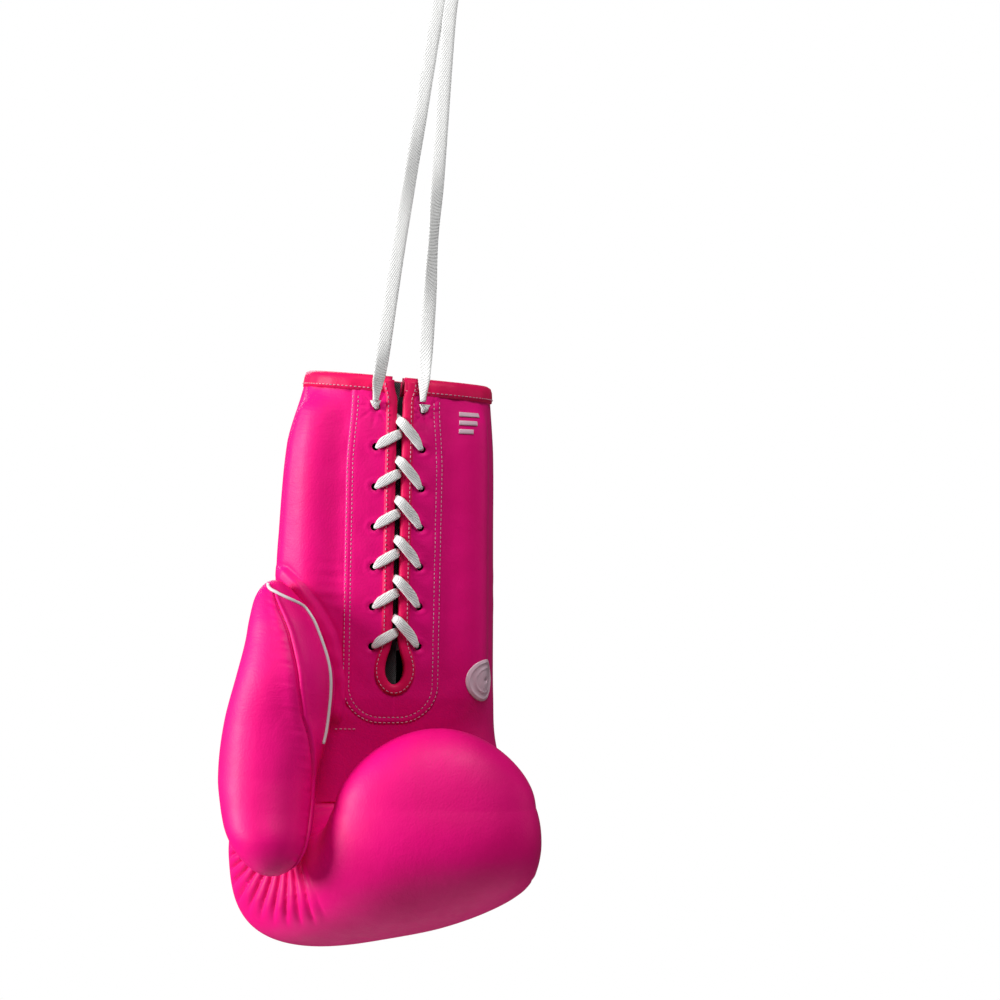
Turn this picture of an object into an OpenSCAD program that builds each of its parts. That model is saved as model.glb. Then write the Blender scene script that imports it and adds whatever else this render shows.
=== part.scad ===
// Boxing glove for the right hand, closed with a lace, hung fist down by that lace.
// Millimetres. The origin is the top of the lace loop it hangs by, +Z is up,
// the palm and the lacing face -Y and the back of the hand faces +Y.

/* [Glove] */
// Length from the cuff rim to the fist, along Z
glove_length = 320; // [310:1:330]
// Drop from the hanging loop to the middle of the cuff rim
hang_drop = 252; // [246:1:258]
// Width of the cuff
cuff_width = 124; // [120:1:128]
// Width of the fist at the knuckles
fist_width = 178; // [174:1:180]
// Thickness of the leather
leather = 1.6; // [1.2:0.1:1.8]
// Thickness of the lining
lining = 1.2; // [0.8:0.1:1.4]

/* [Lacing] */
// Width of the slit in the cuff
slit_gap = 5; // [4:0.5:6]
// Rows of lace holes
hole_rows = 7; // [5:1:7]
// Distance from one row of holes to the next
hole_pitch = 22.3; // [20:0.1:22.3]
// Distance between the two columns of holes
hole_spacing = 26; // [25:0.5:28]
// Side of a lace hole
hole_size = 4; // [3.8:0.1:4.4]
// Diameter of the lace where it is pulled through the holes
lace_round = 3; // [2.6:0.1:3]
// Width of the lace where it lies flat
lace_width = 8; // [6:0.5:9]
// Thickness of the lace where it lies flat
lace_flat = 1.8; // [1.6:0.1:2]

/* [Hidden] */
// ---- stations ----
// A station q is millimetres below the finger crease while it is negative (so q = -hand_len is the
// cuff rim), degrees round the crease from 0 to 180, and from 180 on millimetres up the finger roll.
crease_y = -30;
hand_len = 0.745 * glove_length;
crease_z = -hang_drop - hand_len;
wrist_q = -0.5 * hand_len;
palm_end_q = -12;
split_q = 90;
joint_gap = 0.7;
roll_end_q = 224;
roll_cap = 40;
pocket_end_q = 206;
pocket_cap = 24;

// ---- sections: station, left edge, right edge, palm side, back side (radius from the crease) ----
mid_x = -38.5;
cuff_half = cuff_width / 2;
fist_half = fist_width / 2;
outside = [
  [-hand_len, mid_x - cuff_half + 18, mid_x + cuff_half - 2, -10, 70],
  [-0.84 * hand_len, mid_x - cuff_half + 7, mid_x + cuff_half, -13, 73],
  [-0.63 * hand_len, mid_x - cuff_half + 2, mid_x + cuff_half, -12, 72],
  [-0.46 * hand_len, mid_x - cuff_half - 1, mid_x + cuff_half, -10, 73],
  [-0.25 * hand_len, mid_x - cuff_half - 6, mid_x + cuff_half, -5, 78],
  [-0.12 * hand_len, mid_x - fist_half + 14, mid_x + cuff_half + 2, 0.5, 80],
  [0, mid_x - fist_half + 5, mid_x + fist_half - 13, 1.6, 81],
  [45, mid_x - fist_half, mid_x + fist_half - 1, 1.6, 86],
  [90, mid_x - fist_half + 12, mid_x + fist_half - 3, 1.6, 82],
  [135, mid_x - fist_half + 50, mid_x + fist_half, 1.6, 70],
  [180, mid_x - fist_half + 62, mid_x + fist_half - 3, 1.6, 55],
  [roll_end_q, mid_x - fist_half + 74, mid_x + fist_half - 11, 1.6, 52]
];
inside = [
  [-hand_len, mid_x - cuff_half + 24, mid_x + cuff_half - 10, -4, 59],
  [-0.84 * hand_len, mid_x - cuff_half + 12, mid_x + cuff_half - 9, -7, 62],
  [-0.63 * hand_len, mid_x - cuff_half + 10, mid_x + cuff_half - 10, -6, 59],
  [-0.46 * hand_len, mid_x - cuff_half + 10, mid_x + cuff_half - 12, -4, 52],
  [-0.25 * hand_len, mid_x - cuff_half + 8, mid_x + cuff_half - 12, 2, 42],
  [-0.12 * hand_len, mid_x - cuff_half + 6, mid_x + cuff_half - 10, 8, 40],
  [0, mid_x - cuff_half + 3, mid_x + cuff_half - 4, 12, 40],
  [45, mid_x - cuff_half + 3, mid_x + cuff_half + 4, 13, 42],
  [90, mid_x - cuff_half + 12, mid_x + cuff_half + 4, 13, 40],
  [135, mid_x - cuff_half + 28, mid_x + cuff_half + 6, 13, 37],
  [180, mid_x - cuff_half + 44, mid_x + cuff_half + 7, 13, 33],
  [roll_end_q, mid_x - cuff_half + 46, mid_x + cuff_half + 6, 13, 33]
];
squareness = 2.6;

// ---- thumb sections: z, left edge, right edge, front, back ----
thumb_top_z = crease_z + 126;
thumb_tip_z = crease_z - 36;
thumb_outside = [
  [thumb_top_z, -113, -84, -57, -31],
  [crease_z + 104, -112.5, -75, -67, -32],
  [crease_z + 75, -119, -65.5, -76, -33],
  [crease_z + 46, -125.5, -67, -77, -28],
  [crease_z + 18, -129, -73.5, -80, -28],
  [crease_z, -127, -75.5, -85, -35],
  [crease_z - 16, -123, -77, -91, -44],
  [thumb_tip_z, -119, -77, -94, -52]
];
thumb_cap = 28;
thumb_pad = 8;
thumb_square = 2.2;

// ---- seams, as angles round a section: 0 little-finger side, 90 back, 180 thumb side, 270 palm ----
thumb_seam = 200;
little_seam = 335;
back_seam = 378;
cuff_thumb_seam = 510;
knuckle_start = 378;
knuckle_end = 522;
seam_gap = 0.4;
// Angle left between two blocks of padding
foam_gap = 2.4;
window_angles = [207, 243];
window_q = [-0.405 * hand_len, -0.235 * hand_len];

// ---- depths below the leather's outside face ----
under_skin = leather + 0.5;
facing_out = -1.5;
facing_in = -0.35;

// ---- lacing ----
first_hole_q = -hand_len + 16;
slit_end_q = first_hole_q + 6 * 22.3 + 22;
facing_end_q = slit_end_q + 22;
facing_half = 26;
placket_half = 20;
palm_edge = placket_half + 0.4;
binding_half = 8.5;
rim_q = -hand_len + 1;
lace_out = facing_out - 1.7 - lace_round / 2;
lace_in = lace_round / 2 + 0.6;
tube_sides = 8;

// ---- small parts ----
badge_x = 16;
badge_q = -0.29 * hand_len;
badge_r = 12;
// Millimetres around the cuff for one degree, where the badge is
badge_degree = 0.75;
piping_r = 1.2;
piping_angle = 341;
loop_r = 2;
knot_z = -22;

// Hand-chosen routes of the two lace tails, from the top holes to the knot
tail_left_route = [
  [-42, -46, -265], [-40.5, -46.5, -254], [-39, -45.5, -245],
  [-30, -33, -180], [-19, -19, -110], [-9, -6, -45], [-5, -1, -24]
];
tail_right_route = [
  [-15.5, -46, -265], [-15, -46.5, -254], [-14.5, -45.5, -245],
  [-10.5, -33, -180], [-6, -19, -110], [-1.5, -6, -45], [2, -1, -24]
];

// ---- interpolation ----
function smooth(a, b, c, d, t) =
  0.5 * (2 * b + (c - a) * t + (2 * a - 5 * b + 4 * c - d) * t * t + (3 * b - a - 3 * c + d) * t * t * t);
function low_index(table, v, sign, i = 0) =
  i >= len(table) - 2 || sign * v <= sign * table[i + 1][0] ? i : low_index(table, v, sign, i + 1);
function row_at(table, v, sign) =
  let (i = low_index(table, v, sign))
  let (last = len(table) - 1)
  let (t = max(0, min(1, (v - table[i][0]) / (table[i + 1][0] - table[i][0]))))
  let (near = [for (k = [i - 1:i + 2]) table[max(0, min(last, k))]])
  [for (c = [1:4]) smooth(near[0][c], near[1][c], near[2][c], near[3][c], t)];
function mix(a, b, t) = a + (b - a) * t;
function spread(a, b, n) = [for (i = [0:n]) mix(a, b, i / n)];
function power(v, n) = sign(v) * pow(abs(v), 2 / n);
function dome(left, size) = left >= size ? 1 : sqrt(max(0.0004, 1 - pow((size - left) / size, 2)));

// ---- the glove's surfaces ----
// The rim slants down to the little-finger side, and so does the bottom of the fist.
function rim_slant(x, z) = -0.09 * (x - mid_x) * max(0, min(1, (z - crease_z - 130) / 100));
function fist_slant(x, z) = 0.17 * (x + 70) * max(0, min(1, (crease_z - z) / 80));
function slant(p) = [p[0], p[1], p[2] + rim_slant(p[0], p[2]) + fist_slant(p[0], p[2])];
function place(q, x, r) = slant(
  q < 0 ? [x, crease_y + r, crease_z - q]
  : q <= 180 ? [x, crease_y + r * cos(q), crease_z - r * sin(q)]
  : [x, crease_y - r, crease_z + q - 180]
);
// Point on a section of `table`, shrunk by `depth`, closing as a dome of length `cap` at station `end`.
function on_section(table, q, u, depth, end, cap) =
  let (row = row_at(table, q, 1))
  let (k = dome(end - depth - q, cap - depth))
  let (a = (row[1] - row[0]) / 2 - depth)
  let (b = (row[3] - row[2]) / 2 - depth)
  place(q, (row[0] + row[1]) / 2 + k * a * power(cos(u), squareness),
    (row[2] + row[3]) / 2 + k * b * power(sin(u), squareness));
function skin(q, u, depth) = on_section(outside, q, u, depth, roll_end_q, roll_cap);
function pocket(q, u, grow) = on_section(inside, q, u, -grow, pocket_end_q, pocket_cap);
// Padding runs from the leather (0) to the lining (1).
function padding(q, u, level) = mix(skin(q, u, under_skin), pocket(q, u, lining + 0.3), level);
// The finger roll's layers share one count of rings, each ending at its own tip.
function roll_q(t, end) = mix(split_q, end, t);
function roll_skin(t, u, depth) = skin(roll_q(t, roll_end_q - depth - 0.01), u, depth) - [0, joint_gap, 0];
function roll_pocket(t, u, grow) = pocket(roll_q(t, pocket_end_q + grow - 0.01), u, grow) - [0, joint_gap, 0];
function roll_padding(t, u, level) =
  mix(roll_skin(t, u, under_skin), roll_pocket(t, u, lining + 0.3), level);
// Angle of the palm-side point at x, so that the lacing's edges run straight down the cuff.
function palm_angle(q, x) =
  let (row = row_at(outside, q, 1))
  let (side = (x - (row[0] + row[1]) / 2) / ((row[1] - row[0]) / 2))
  360 - acos(sign(side) * pow(abs(side), squareness / 2));
function slit_x(q) = -28.5 - 2.9 * (q - first_hole_q) / 134;
function near_slit(q, offset) = palm_angle(q, slit_x(q) + offset);

// ---- solids ----
// A closed solid between two matching grids of points. `off` lists the cells left open, `around`
// joins the last column to the first, and `tip` closes the last row to a point.
function is_off(off, i, j) = len([for (c = off) if (i >= c[0] && i < c[1] && j >= c[2] && j < c[3]) 1]) > 0;
module between(outer, inner, off = [], around = false, tip = false) {
  rows = len(outer);
  cols = len(outer[0]);
  count = rows * cols;
  cells_j = around ? cols : cols - 1;
  function kept(i, j) =
    i >= 0 && i < rows - 1 && (around || (j >= 0 && j < cells_j)) && !is_off(off, i, (j + cols) % cols);
  function at(layer, i, j) = layer * count + i * cols + (j + cols) % cols;
  // Walls are cut along the same diagonal whichever side they close, so that neighbours match.
  function wall(i0, j0, i1, j1) =
    i0 + j0 < i1 + j1
    ? [[at(0, i0, j0), at(1, i1, j1), at(0, i1, j1)], [at(0, i0, j0), at(1, i0, j0), at(1, i1, j1)]]
    : [[at(0, i0, j0), at(1, i0, j0), at(0, i1, j1)], [at(1, i0, j0), at(1, i1, j1), at(0, i1, j1)]];
  faces = [
    for (i = [0:rows - 2]) for (j = [0:cells_j - 1]) if (kept(i, j)) each [
      [at(0, i, j), at(0, i + 1, j + 1), at(0, i + 1, j)],
      [at(0, i, j), at(0, i, j + 1), at(0, i + 1, j + 1)],
      [at(1, i, j), at(1, i + 1, j), at(1, i + 1, j + 1)],
      [at(1, i, j), at(1, i + 1, j + 1), at(1, i, j + 1)],
      each kept(i, j - 1) ? [] : wall(i + 1, j, i, j),
      each kept(i, j + 1) ? [] : wall(i, j + 1, i + 1, j + 1),
      each kept(i - 1, j) ? [] : wall(i, j, i, j + 1),
      each kept(i + 1, j) || (tip && i == rows - 2) ? [] : wall(i + 1, j + 1, i + 1, j)
    ]
  ];
  tips = [
    if (tip) for (j = [0:cols - 1]) each [
      [at(0, rows - 1, j), at(0, rows - 1, j + 1), 2 * count],
      [at(1, rows - 1, j), 2 * count + 1, at(1, rows - 1, j + 1)]
    ]
  ];
  function middle(row) = [for (c = [0:2]) [for (p = row) p[c]] * [for (p = row) 1] / cols];
  polyhedron(concat([for (row = outer) each row], [for (row = inner) each row],
    [middle(outer[rows - 1]), middle(inner[rows - 1])]), concat(faces, tips), convexity = 8);
}
// A panel of the skin over stations `qs` and angles `us`, from one depth to another.
module skin_panel(qs, us, d0, d1, off = [], around = false)
  between([for (q = qs) [for (u = us) skin(q, u, d0)]],
    [for (q = qs) [for (u = us) skin(q, u, d1)]], off, around);
module pad(qs, us, l0, l1, off = [])
  between([for (q = qs) [for (u = us) padding(q, u, l0)]],
    [for (q = qs) [for (u = us) padding(q, u, l1)]], off);

// ---- tubes ----
function unit(v) = v / norm(v);
function heading(route, i, closed) =
  let (n = len(route))
  let (before = closed ? route[(i + n - 1) % n] : route[max(0, i - 1)])
  let (after = closed ? route[(i + 1) % n] : route[min(n - 1, i + 1)])
  unit(unit(after - route[i] + [0, 0, 1e-9]) * (i == n - 1 && !closed ? 0 : 1)
    + unit(route[i] - before + [0, 0, 1e-9]) * (i == 0 && !closed ? 0 : 1));
function carried(side, along) = unit(side - along * (side * along));
function sides(route, closed, side, i = 0) =
  i >= len(route) ? []
  : let (s = carried(side, heading(route, i, closed))) concat([s], sides(route, closed, s, i + 1));
// Sweeps an ellipse, half sizes `w` across and `h` thick, along a route, starting with `side` across.
module tube(route, w, h, side, closed = false) {
  across = sides(route, closed, side);
  n = len(route);
  rings = [
    for (i = [0:n - 1])
      let (up = cross(heading(route, i, closed), across[i]))
      [for (k = [0:tube_sides - 1]) route[i] + across[i] * w * cos(k * 360 / tube_sides)
        + up * h * sin(k * 360 / tube_sides)]
  ];
  function at(i, k) = (i % n) * tube_sides + k % tube_sides;
  walls = [
    for (i = [0:closed ? n - 1 : n - 2]) for (k = [0:tube_sides - 1]) each [
      [at(i, k), at(i + 1, k), at(i + 1, k + 1)],
      [at(i, k), at(i + 1, k + 1), at(i, k + 1)]
    ]
  ];
  ends = closed ? [] : [
    for (k = [1:tube_sides - 2]) each [
      [at(0, 0), at(0, k), at(0, k + 1)],
      [at(n - 1, 0), at(n - 1, k + 1), at(n - 1, k)]
    ]
  ];
  polyhedron([for (r = rings) each r], concat(walls, ends), convexity = 8);
}
// Cuts each corner of a route by `cut`.
function rounded(route, cut) = [
  for (i = [0:len(route) - 1]) each
    i == 0 || i == len(route) - 1 ? [route[i]]
    : [route[i] + cut * unit(route[i - 1] - route[i]), route[i] + cut * unit(route[i + 1] - route[i])]
];

// ---- thumb ----
function thumb_row(z) = row_at(thumb_outside, z, -1);
function thumb_point(t, u, depth) =
  let (z = mix(thumb_top_z - depth - 0.01, thumb_tip_z + depth + 0.01, t))
  let (row = thumb_row(z))
  let (cap = thumb_cap - depth)
  let (k = dome(z - thumb_tip_z - depth, cap) * dome(thumb_top_z - depth - z, cap))
  [(row[0] + row[1]) / 2 + k * ((row[1] - row[0]) / 2 - depth) * power(cos(u), thumb_square),
    (row[2] + row[3]) / 2 + k * ((row[3] - row[2]) / 2 - depth) * power(sin(u), thumb_square), z];
thumb_steps = [0.002, 0.02, 0.06, 0.12, 0.2, 0.3, 0.4, 0.5, 0.62, 0.74, 0.84, 0.92, 0.97, 0.998];
thumb_outer_angles = spread(130, 330, 14);
thumb_inner_angles = spread(-29, 129, 10);
thumb_ring_angles = spread(0, 345, 23);
module thumb_part(us, d0, d1, off = [], around = false)
  between([for (t = thumb_steps) [for (u = us) thumb_point(t, u, d0)]],
    [for (t = thumb_steps) [for (u = us) thumb_point(t, u, d1)]], off, around);

// ---- grids ----
// Every layer of the hand is cut from one grid of stations and angles, so that neighbours match.
hand_q = [rim_q, -0.84 * hand_len, -0.73 * hand_len, -0.63 * hand_len, -0.55 * hand_len, wrist_q,
  window_q[0], -0.32 * hand_len, window_q[1], facing_end_q - 4, palm_end_q, 0, 20, 40, 60, 75, split_q];
facing_row = index_of(hand_q, facing_end_q - 4);
placket_off = [0, facing_row, 5, 8];
window_off = [index_of(hand_q, window_q[0]), index_of(hand_q, window_q[1]), 1, 3];
back_us = concat([345, 355, 366], [for (u = [back_seam:12:534]) u], [547]);
palm_xs = [-palm_edge - 8, -palm_edge, -7, 7, palm_edge, palm_edge + 8];
function palm_us(q) = concat([thumb_seam, window_angles[0], 226, window_angles[1]],
  [for (x = palm_xs) near_slit(q, x)], [322, little_seam]);
function ring_us(q) = concat(palm_us(q), back_us);
function index_of(values, v) = len([for (x = values) if (x < v - 0.01) 1]);
// The values from a to b, with both ends put in.
function cut(values, a, b) = concat([a], [for (v = values) if (v > a + 1.2 && v < b - 1.2) v], [b]);
function back(a, b) = cut(back_us, a, b);
roll_t = [0, 0.15, 0.3, 0.45, 0.6, 0.72, 0.82, 0.9, 0.96, 1];
ring_angles = spread(0, 348, 29);
hole_rows_q = [
  for (i = [0:hole_rows - 1]) each [
    first_hole_q + i * hole_pitch - hole_size / 2,
    first_hole_q + i * hole_pitch + hole_size / 2
  ]
];
function facing_offsets(edge) = let (h = hole_spacing / 2) [-edge, -h - hole_size / 2, -h + hole_size / 2,
  -slit_gap / 2, slit_gap / 2, h - hole_size / 2, h + hole_size / 2, edge];
function facing_rows(top, end) = concat([top], hole_rows_q, [slit_end_q, end]);
facing_off = concat([[0, 2 * hole_rows + 1, 3, 4]],
  [for (i = [0:hole_rows - 1]) each [[2 * i + 1, 2 * i + 2, 1, 2], [2 * i + 1, 2 * i + 2, 5, 6]]]);
function facing_grid(top, end, edge) = [
  for (q = facing_rows(top, end)) [for (o = facing_offsets(edge)) [q, near_slit(q, o)]]
];

// ---- leather of the hand ----
leather_colour = [0.86, 0.09, 0.36];
binding_colour = [0.80, 0.05, 0.27];
foam_colour = [0.93, 0.91, 0.86];
lining_colour = [0.06, 0.06, 0.07];
lace_colour = [0.95, 0.95, 0.95];

module palm_panel() {
  color(leather_colour)
    between([for (q = hand_q) [for (u = palm_us(q)) skin(q, u, 0)]],
      [for (q = hand_q) [for (u = palm_us(q)) skin(q, u, leather)]], [placket_off, window_off]);
}
module facing_layer(d0, d1, top, end, edge) {
  grid = facing_grid(top, end, edge);
  between([for (row = grid) [for (p = row) skin(p[0], p[1], d0)]],
    [for (row = grid) [for (p = row) skin(p[0], p[1], d1)]], facing_off);
}
module lace_facing() {
  color(leather_colour) facing_layer(facing_out, facing_in, rim_q, facing_end_q, facing_half);
}
module lace_placket() {
  color(leather_colour) facing_layer(0, leather, rim_q, facing_end_q - 4.4, placket_half);
}
module placket_foam() {
  grid = facing_grid(rim_q, facing_end_q - 4.4, placket_half);
  color(foam_colour)
    between([for (row = grid) [for (p = row) padding(p[0], p[1], 0)]],
      [for (row = grid) [for (p = row) padding(p[0], p[1], 1)]], facing_off);
}
module placket_lining() {
  grid = facing_grid(rim_q, facing_end_q - 4.4, placket_half);
  color(lining_colour)
    between([for (row = grid) [for (p = row) pocket(p[0], p[1], lining)]],
      [for (row = grid) [for (p = row) pocket(p[0], p[1], 0)]], facing_off);
}
module slit_binding() {
  qs = concat(spread(rim_q + 6, slit_end_q + 0.5, 8), [slit_end_q + 6]);
  edges = [-binding_half, -slit_gap / 2 - 0.3, slit_gap / 2 + 0.3, binding_half];
  color(binding_colour)
    between([for (q = qs) [for (x = edges) skin(q, near_slit(q, x), facing_out - 1.3)]],
      [for (q = qs) [for (x = edges) skin(q, near_slit(q, x), facing_out - 0.3)]], [[0, 8, 1, 2]]);
}
// Folded over the rim: down the outside, across, and down the inside. It steps out over the facing.
module cuff_binding() {
  ends = [slit_gap / 2 + 0.5, hole_spacing / 2, palm_edge, facing_half + 0.6, facing_half + 3.5];
  right = [for (x = ends) near_slit(rim_q, x)];
  left = [for (i = [4:-1:0]) 360 + near_slit(rim_q, -ends[i])];
  us = concat(right, [322, little_seam], back_us, [560, 567, 586, 603], left);
  last = len(us) - 1;
  bottom = rim_q + 5;
  top = rim_q - 3;
  rim = rim_q - 0.4;
  function out(i) = (i < 4 || i > last - 4 ? facing_out : 0) - 0.3;
  function fold(u, outside_depth, edge, inside_depth) = [
    skin(bottom, u, outside_depth), skin(edge, u, outside_depth), skin(edge, u, 3),
    pocket(edge, u, inside_depth), pocket(bottom, u, inside_depth)
  ];
  color(binding_colour)
    between([for (i = [0:last]) fold(us[i], out(i) - 1.1, top, -1.6)],
      [for (i = [0:last]) fold(us[i], out(i), rim, -0.4)]);
}
module cuff_back_panel() {
  qs = cut(hand_q, rim_q, wrist_q);
  color(leather_colour) skin_panel(qs, back(back_seam + seam_gap, cuff_thumb_seam - seam_gap), 0, leather);
}
module thumb_side_panel() {
  qs = cut(hand_q, rim_q, wrist_q);
  color(leather_colour) skin_panel(qs, back(cuff_thumb_seam, thumb_seam + 360 - seam_gap), 0, leather);
}
module little_side_panel() {
  color(leather_colour) skin_panel(hand_q, back(little_seam + seam_gap, back_seam), 0, leather);
}
module back_panel() {
  qs = cut(hand_q, wrist_q + seam_gap, split_q);
  color(leather_colour) skin_panel(qs, back(back_seam + seam_gap, thumb_seam + 360 - seam_gap), 0, leather);
}

// ---- padding of the hand ----
function from_to(values, a, b) = [for (i = [a:b]) values[i]];
module palm_pad(qs, first, last, off = [])
  between([for (q = qs) [for (u = from_to(palm_us(q), first, last)) padding(q, u, 0)]],
    [for (q = qs) [for (u = from_to(palm_us(q), first, last)) padding(q, u, 1)]], off);
module cuff_foam_left() {
  color(foam_colour) palm_pad(cut(hand_q, rim_q, wrist_q), 0, 5);
}
module cuff_foam_right() {
  color(foam_colour) palm_pad(cut(hand_q, rim_q, wrist_q), 8, 11);
}
module cuff_back_foam() {
  us = back(little_seam + foam_gap, thumb_seam + 360 - foam_gap);
  color(foam_colour) pad(cut(hand_q, rim_q, wrist_q), us, 0, 1);
}
module palm_foam() {
  qs = cut(hand_q, wrist_q + foam_gap, palm_end_q);
  first = index_of(hand_q, wrist_q);
  window = [window_off[0] - first, window_off[1] - first, 1, 3];
  color(foam_colour) palm_pad(qs, 0, 11, [[0, facing_row - first, 5, 8], window]);
}
module grip_bar() {
  color(foam_colour) palm_pad(cut(hand_q, palm_end_q + foam_gap, split_q), 0, 11);
}
module fist_pad(a, b, l0, l1)
  pad(cut(hand_q, wrist_q + foam_gap, split_q), back(a, b), l0, l1);
module thumb_side_foam() {
  color(foam_colour) fist_pad(knuckle_end + foam_gap, thumb_seam + 360 - foam_gap, 0, 1);
}
module little_side_foam() {
  color(foam_colour) fist_pad(little_seam + foam_gap, knuckle_start - foam_gap, 0, 1);
}
module knuckle_foam_outer() {
  color(foam_colour) fist_pad(knuckle_start, knuckle_end, 0, 0.33);
}
module knuckle_foam_middle() {
  color(foam_colour) fist_pad(knuckle_start, knuckle_end, 0.345, 0.655);
}
module knuckle_foam_inner() {
  color(foam_colour) fist_pad(knuckle_start, knuckle_end, 0.67, 1);
}
module hand_lining() {
  color(lining_colour)
    between([for (q = hand_q) [for (u = ring_us(q)) pocket(q, u, lining)]],
      [for (q = hand_q) [for (u = ring_us(q)) pocket(q, u, 0)]], [placket_off, window_off], true);
}

// ---- finger roll ----
module roll_layer(outer, inner) {
  between(outer, inner, [], true, true);
}
module finger_panel() {
  color(leather_colour)
    roll_layer([for (t = roll_t) [for (u = ring_angles) roll_skin(t, u, 0)]],
      [for (t = roll_t) [for (u = ring_angles) roll_skin(t, u, leather)]]);
}
module finger_foam_outer() {
  color(foam_colour)
    roll_layer([for (t = roll_t) [for (u = ring_angles) roll_padding(t, u, 0)]],
      [for (t = roll_t) [for (u = ring_angles) roll_padding(t, u, 0.485)]]);
}
module finger_foam_inner() {
  color(foam_colour)
    roll_layer([for (t = roll_t) [for (u = ring_angles) roll_padding(t, u, 0.515)]],
      [for (t = roll_t) [for (u = ring_angles) roll_padding(t, u, 1)]]);
}
module finger_lining() {
  color(lining_colour)
    roll_layer([for (t = roll_t) [for (u = ring_angles) roll_pocket(t, u, lining)]],
      [for (t = roll_t) [for (u = ring_angles) roll_pocket(t, u, 0)]]);
}

// ---- thumb ----
window_cells = [[4, 7, 2, 9]];
module thumb_outer_panel() {
  color(leather_colour) thumb_part(thumb_outer_angles, 0, leather);
}
module thumb_inner_panel() {
  color(leather_colour) thumb_part(thumb_inner_angles, 0, leather, [[4, 7, 4, 10]]);
}
module thumb_foam() {
  color(foam_colour) thumb_part(thumb_ring_angles, under_skin, thumb_pad, window_cells, true);
}
module thumb_lining() {
  outer = thumb_pad + 0.3;
  color(lining_colour) thumb_part(thumb_ring_angles, outer, outer + lining, window_cells, true);
}
module thumb_piping() {
  route = [for (t = spread(0.1, 0.56, 14)) thumb_point(t, piping_angle, -piping_r - 0.7)];
  color(lace_colour) tube(route, piping_r, piping_r, [0, 1, 0]);
}

// ---- lace ----
function on_cuff(q, offset, depth) = skin(q, near_slit(q, offset), depth);
function in_cuff(q, offset) = pocket(q, near_slit(q, offset), -lace_in);
function through(q, offset) = [
  in_cuff(q, offset), pocket(q, near_slit(q, offset), lining),
  on_cuff(q, offset, leather), on_cuff(q, offset, lace_out)
];
// One lace half. It starts on side `s` of the slit and dives through the slit `dive` above each hole.
function strand(s, dive) =
  let (last = hole_rows - 1)
  concat(
    [in_cuff(first_hole_q + last * hole_pitch, s * 0.15)],
    [
      for (i = [last:-1:1])
        let (q = first_hole_q + i * hole_pitch)
        let (side = (last - i) % 2 == 0 ? s : -s)
        each [each through(q, side * hole_spacing / 2), on_cuff(q - dive, 0, lace_out), in_cuff(q - dive, 0)]
    ],
    let (side = last % 2 == 0 ? s : -s)
    [
      each through(first_hole_q, side * hole_spacing / 2),
      on_cuff(first_hole_q - 2.6, side * hole_spacing / 2, lace_out)
    ]
  );
module lace_strand_left() {
  color(lace_colour) tube(rounded(strand(-1, 8.5), 1), lace_round / 2, lace_round / 2, [0, 0, 1]);
}
module lace_strand_right() {
  color(lace_colour) tube(rounded(strand(1, 13.5), 1), lace_round / 2, lace_round / 2, [0, 0, 1]);
}
function bowed(route) = [for (i = [0:3 * (len(route) - 1)])
  let (k = min(len(route) - 2, floor(i / 3)))
  let (last = len(route) - 1)
  smooth(route[max(0, k - 1)], route[k], route[k + 1], route[min(last, k + 2)], i / 3 - k)];
module lace_tail_left() {
  color(lace_colour) tube(bowed(tail_left_route), lace_width / 2, lace_flat / 2, [1, 0, 0]);
}
module lace_tail_right() {
  color(lace_colour) tube(bowed(tail_right_route), lace_width / 2, lace_flat / 2, [1, 0, 0]);
}
module lace_knot() {
  knot = 3;
  cord_r = 1.6;
  route = [
    for (t = [0:10:350])
      [knot * (sin(t) + 2 * sin(2 * t)), -1.1 * knot * sin(3 * t), knot_z + knot * (cos(t) - 2 * cos(2 * t))]
  ];
  color(lace_colour) tube(route, cord_r, cord_r, [0, 1, 0], true);
}
// The loop's inside top is the origin.
module hang_loop() {
  route = [for (t = [0:10:350]) [8 * sin(t), 0, -10 + (10 + loop_r) * cos(t)]];
  color(lace_colour) tube(route, loop_r, loop_r, [0, 1, 0], true);
}

// ---- trim ----
module round_badge() {
  rings = spread(0.6, badge_r, 3);
  us = spread(350, 0, 35);
  function spot(r, a, depth) =
    let (q = badge_q + r * sin(a))
    skin(q, palm_angle(q, badge_x) + r * cos(a) / badge_degree, depth);
  color([0.9, 0.88, 0.88])
    between([for (r = rings) [for (a = us) spot(r, a, -1.2)]],
      [for (r = rings) [for (a = us) spot(r, a, -0.6)]], [], true);
}

palm_panel();
lace_facing();
lace_placket();
placket_foam();
placket_lining();
slit_binding();
cuff_binding();
cuff_back_panel();
thumb_side_panel();
little_side_panel();
back_panel();
cuff_foam_left();
cuff_foam_right();
cuff_back_foam();
palm_foam();
grip_bar();
thumb_side_foam();
little_side_foam();
knuckle_foam_outer();
knuckle_foam_middle();
knuckle_foam_inner();
hand_lining();
finger_panel();
finger_foam_outer();
finger_foam_inner();
finger_lining();
thumb_outer_panel();
thumb_inner_panel();
thumb_foam();
thumb_lining();
thumb_piping();
lace_strand_left();
lace_strand_right();
lace_tail_left();
lace_tail_right();
lace_knot();
hang_loop();
round_badge();
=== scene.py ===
import math

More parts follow.
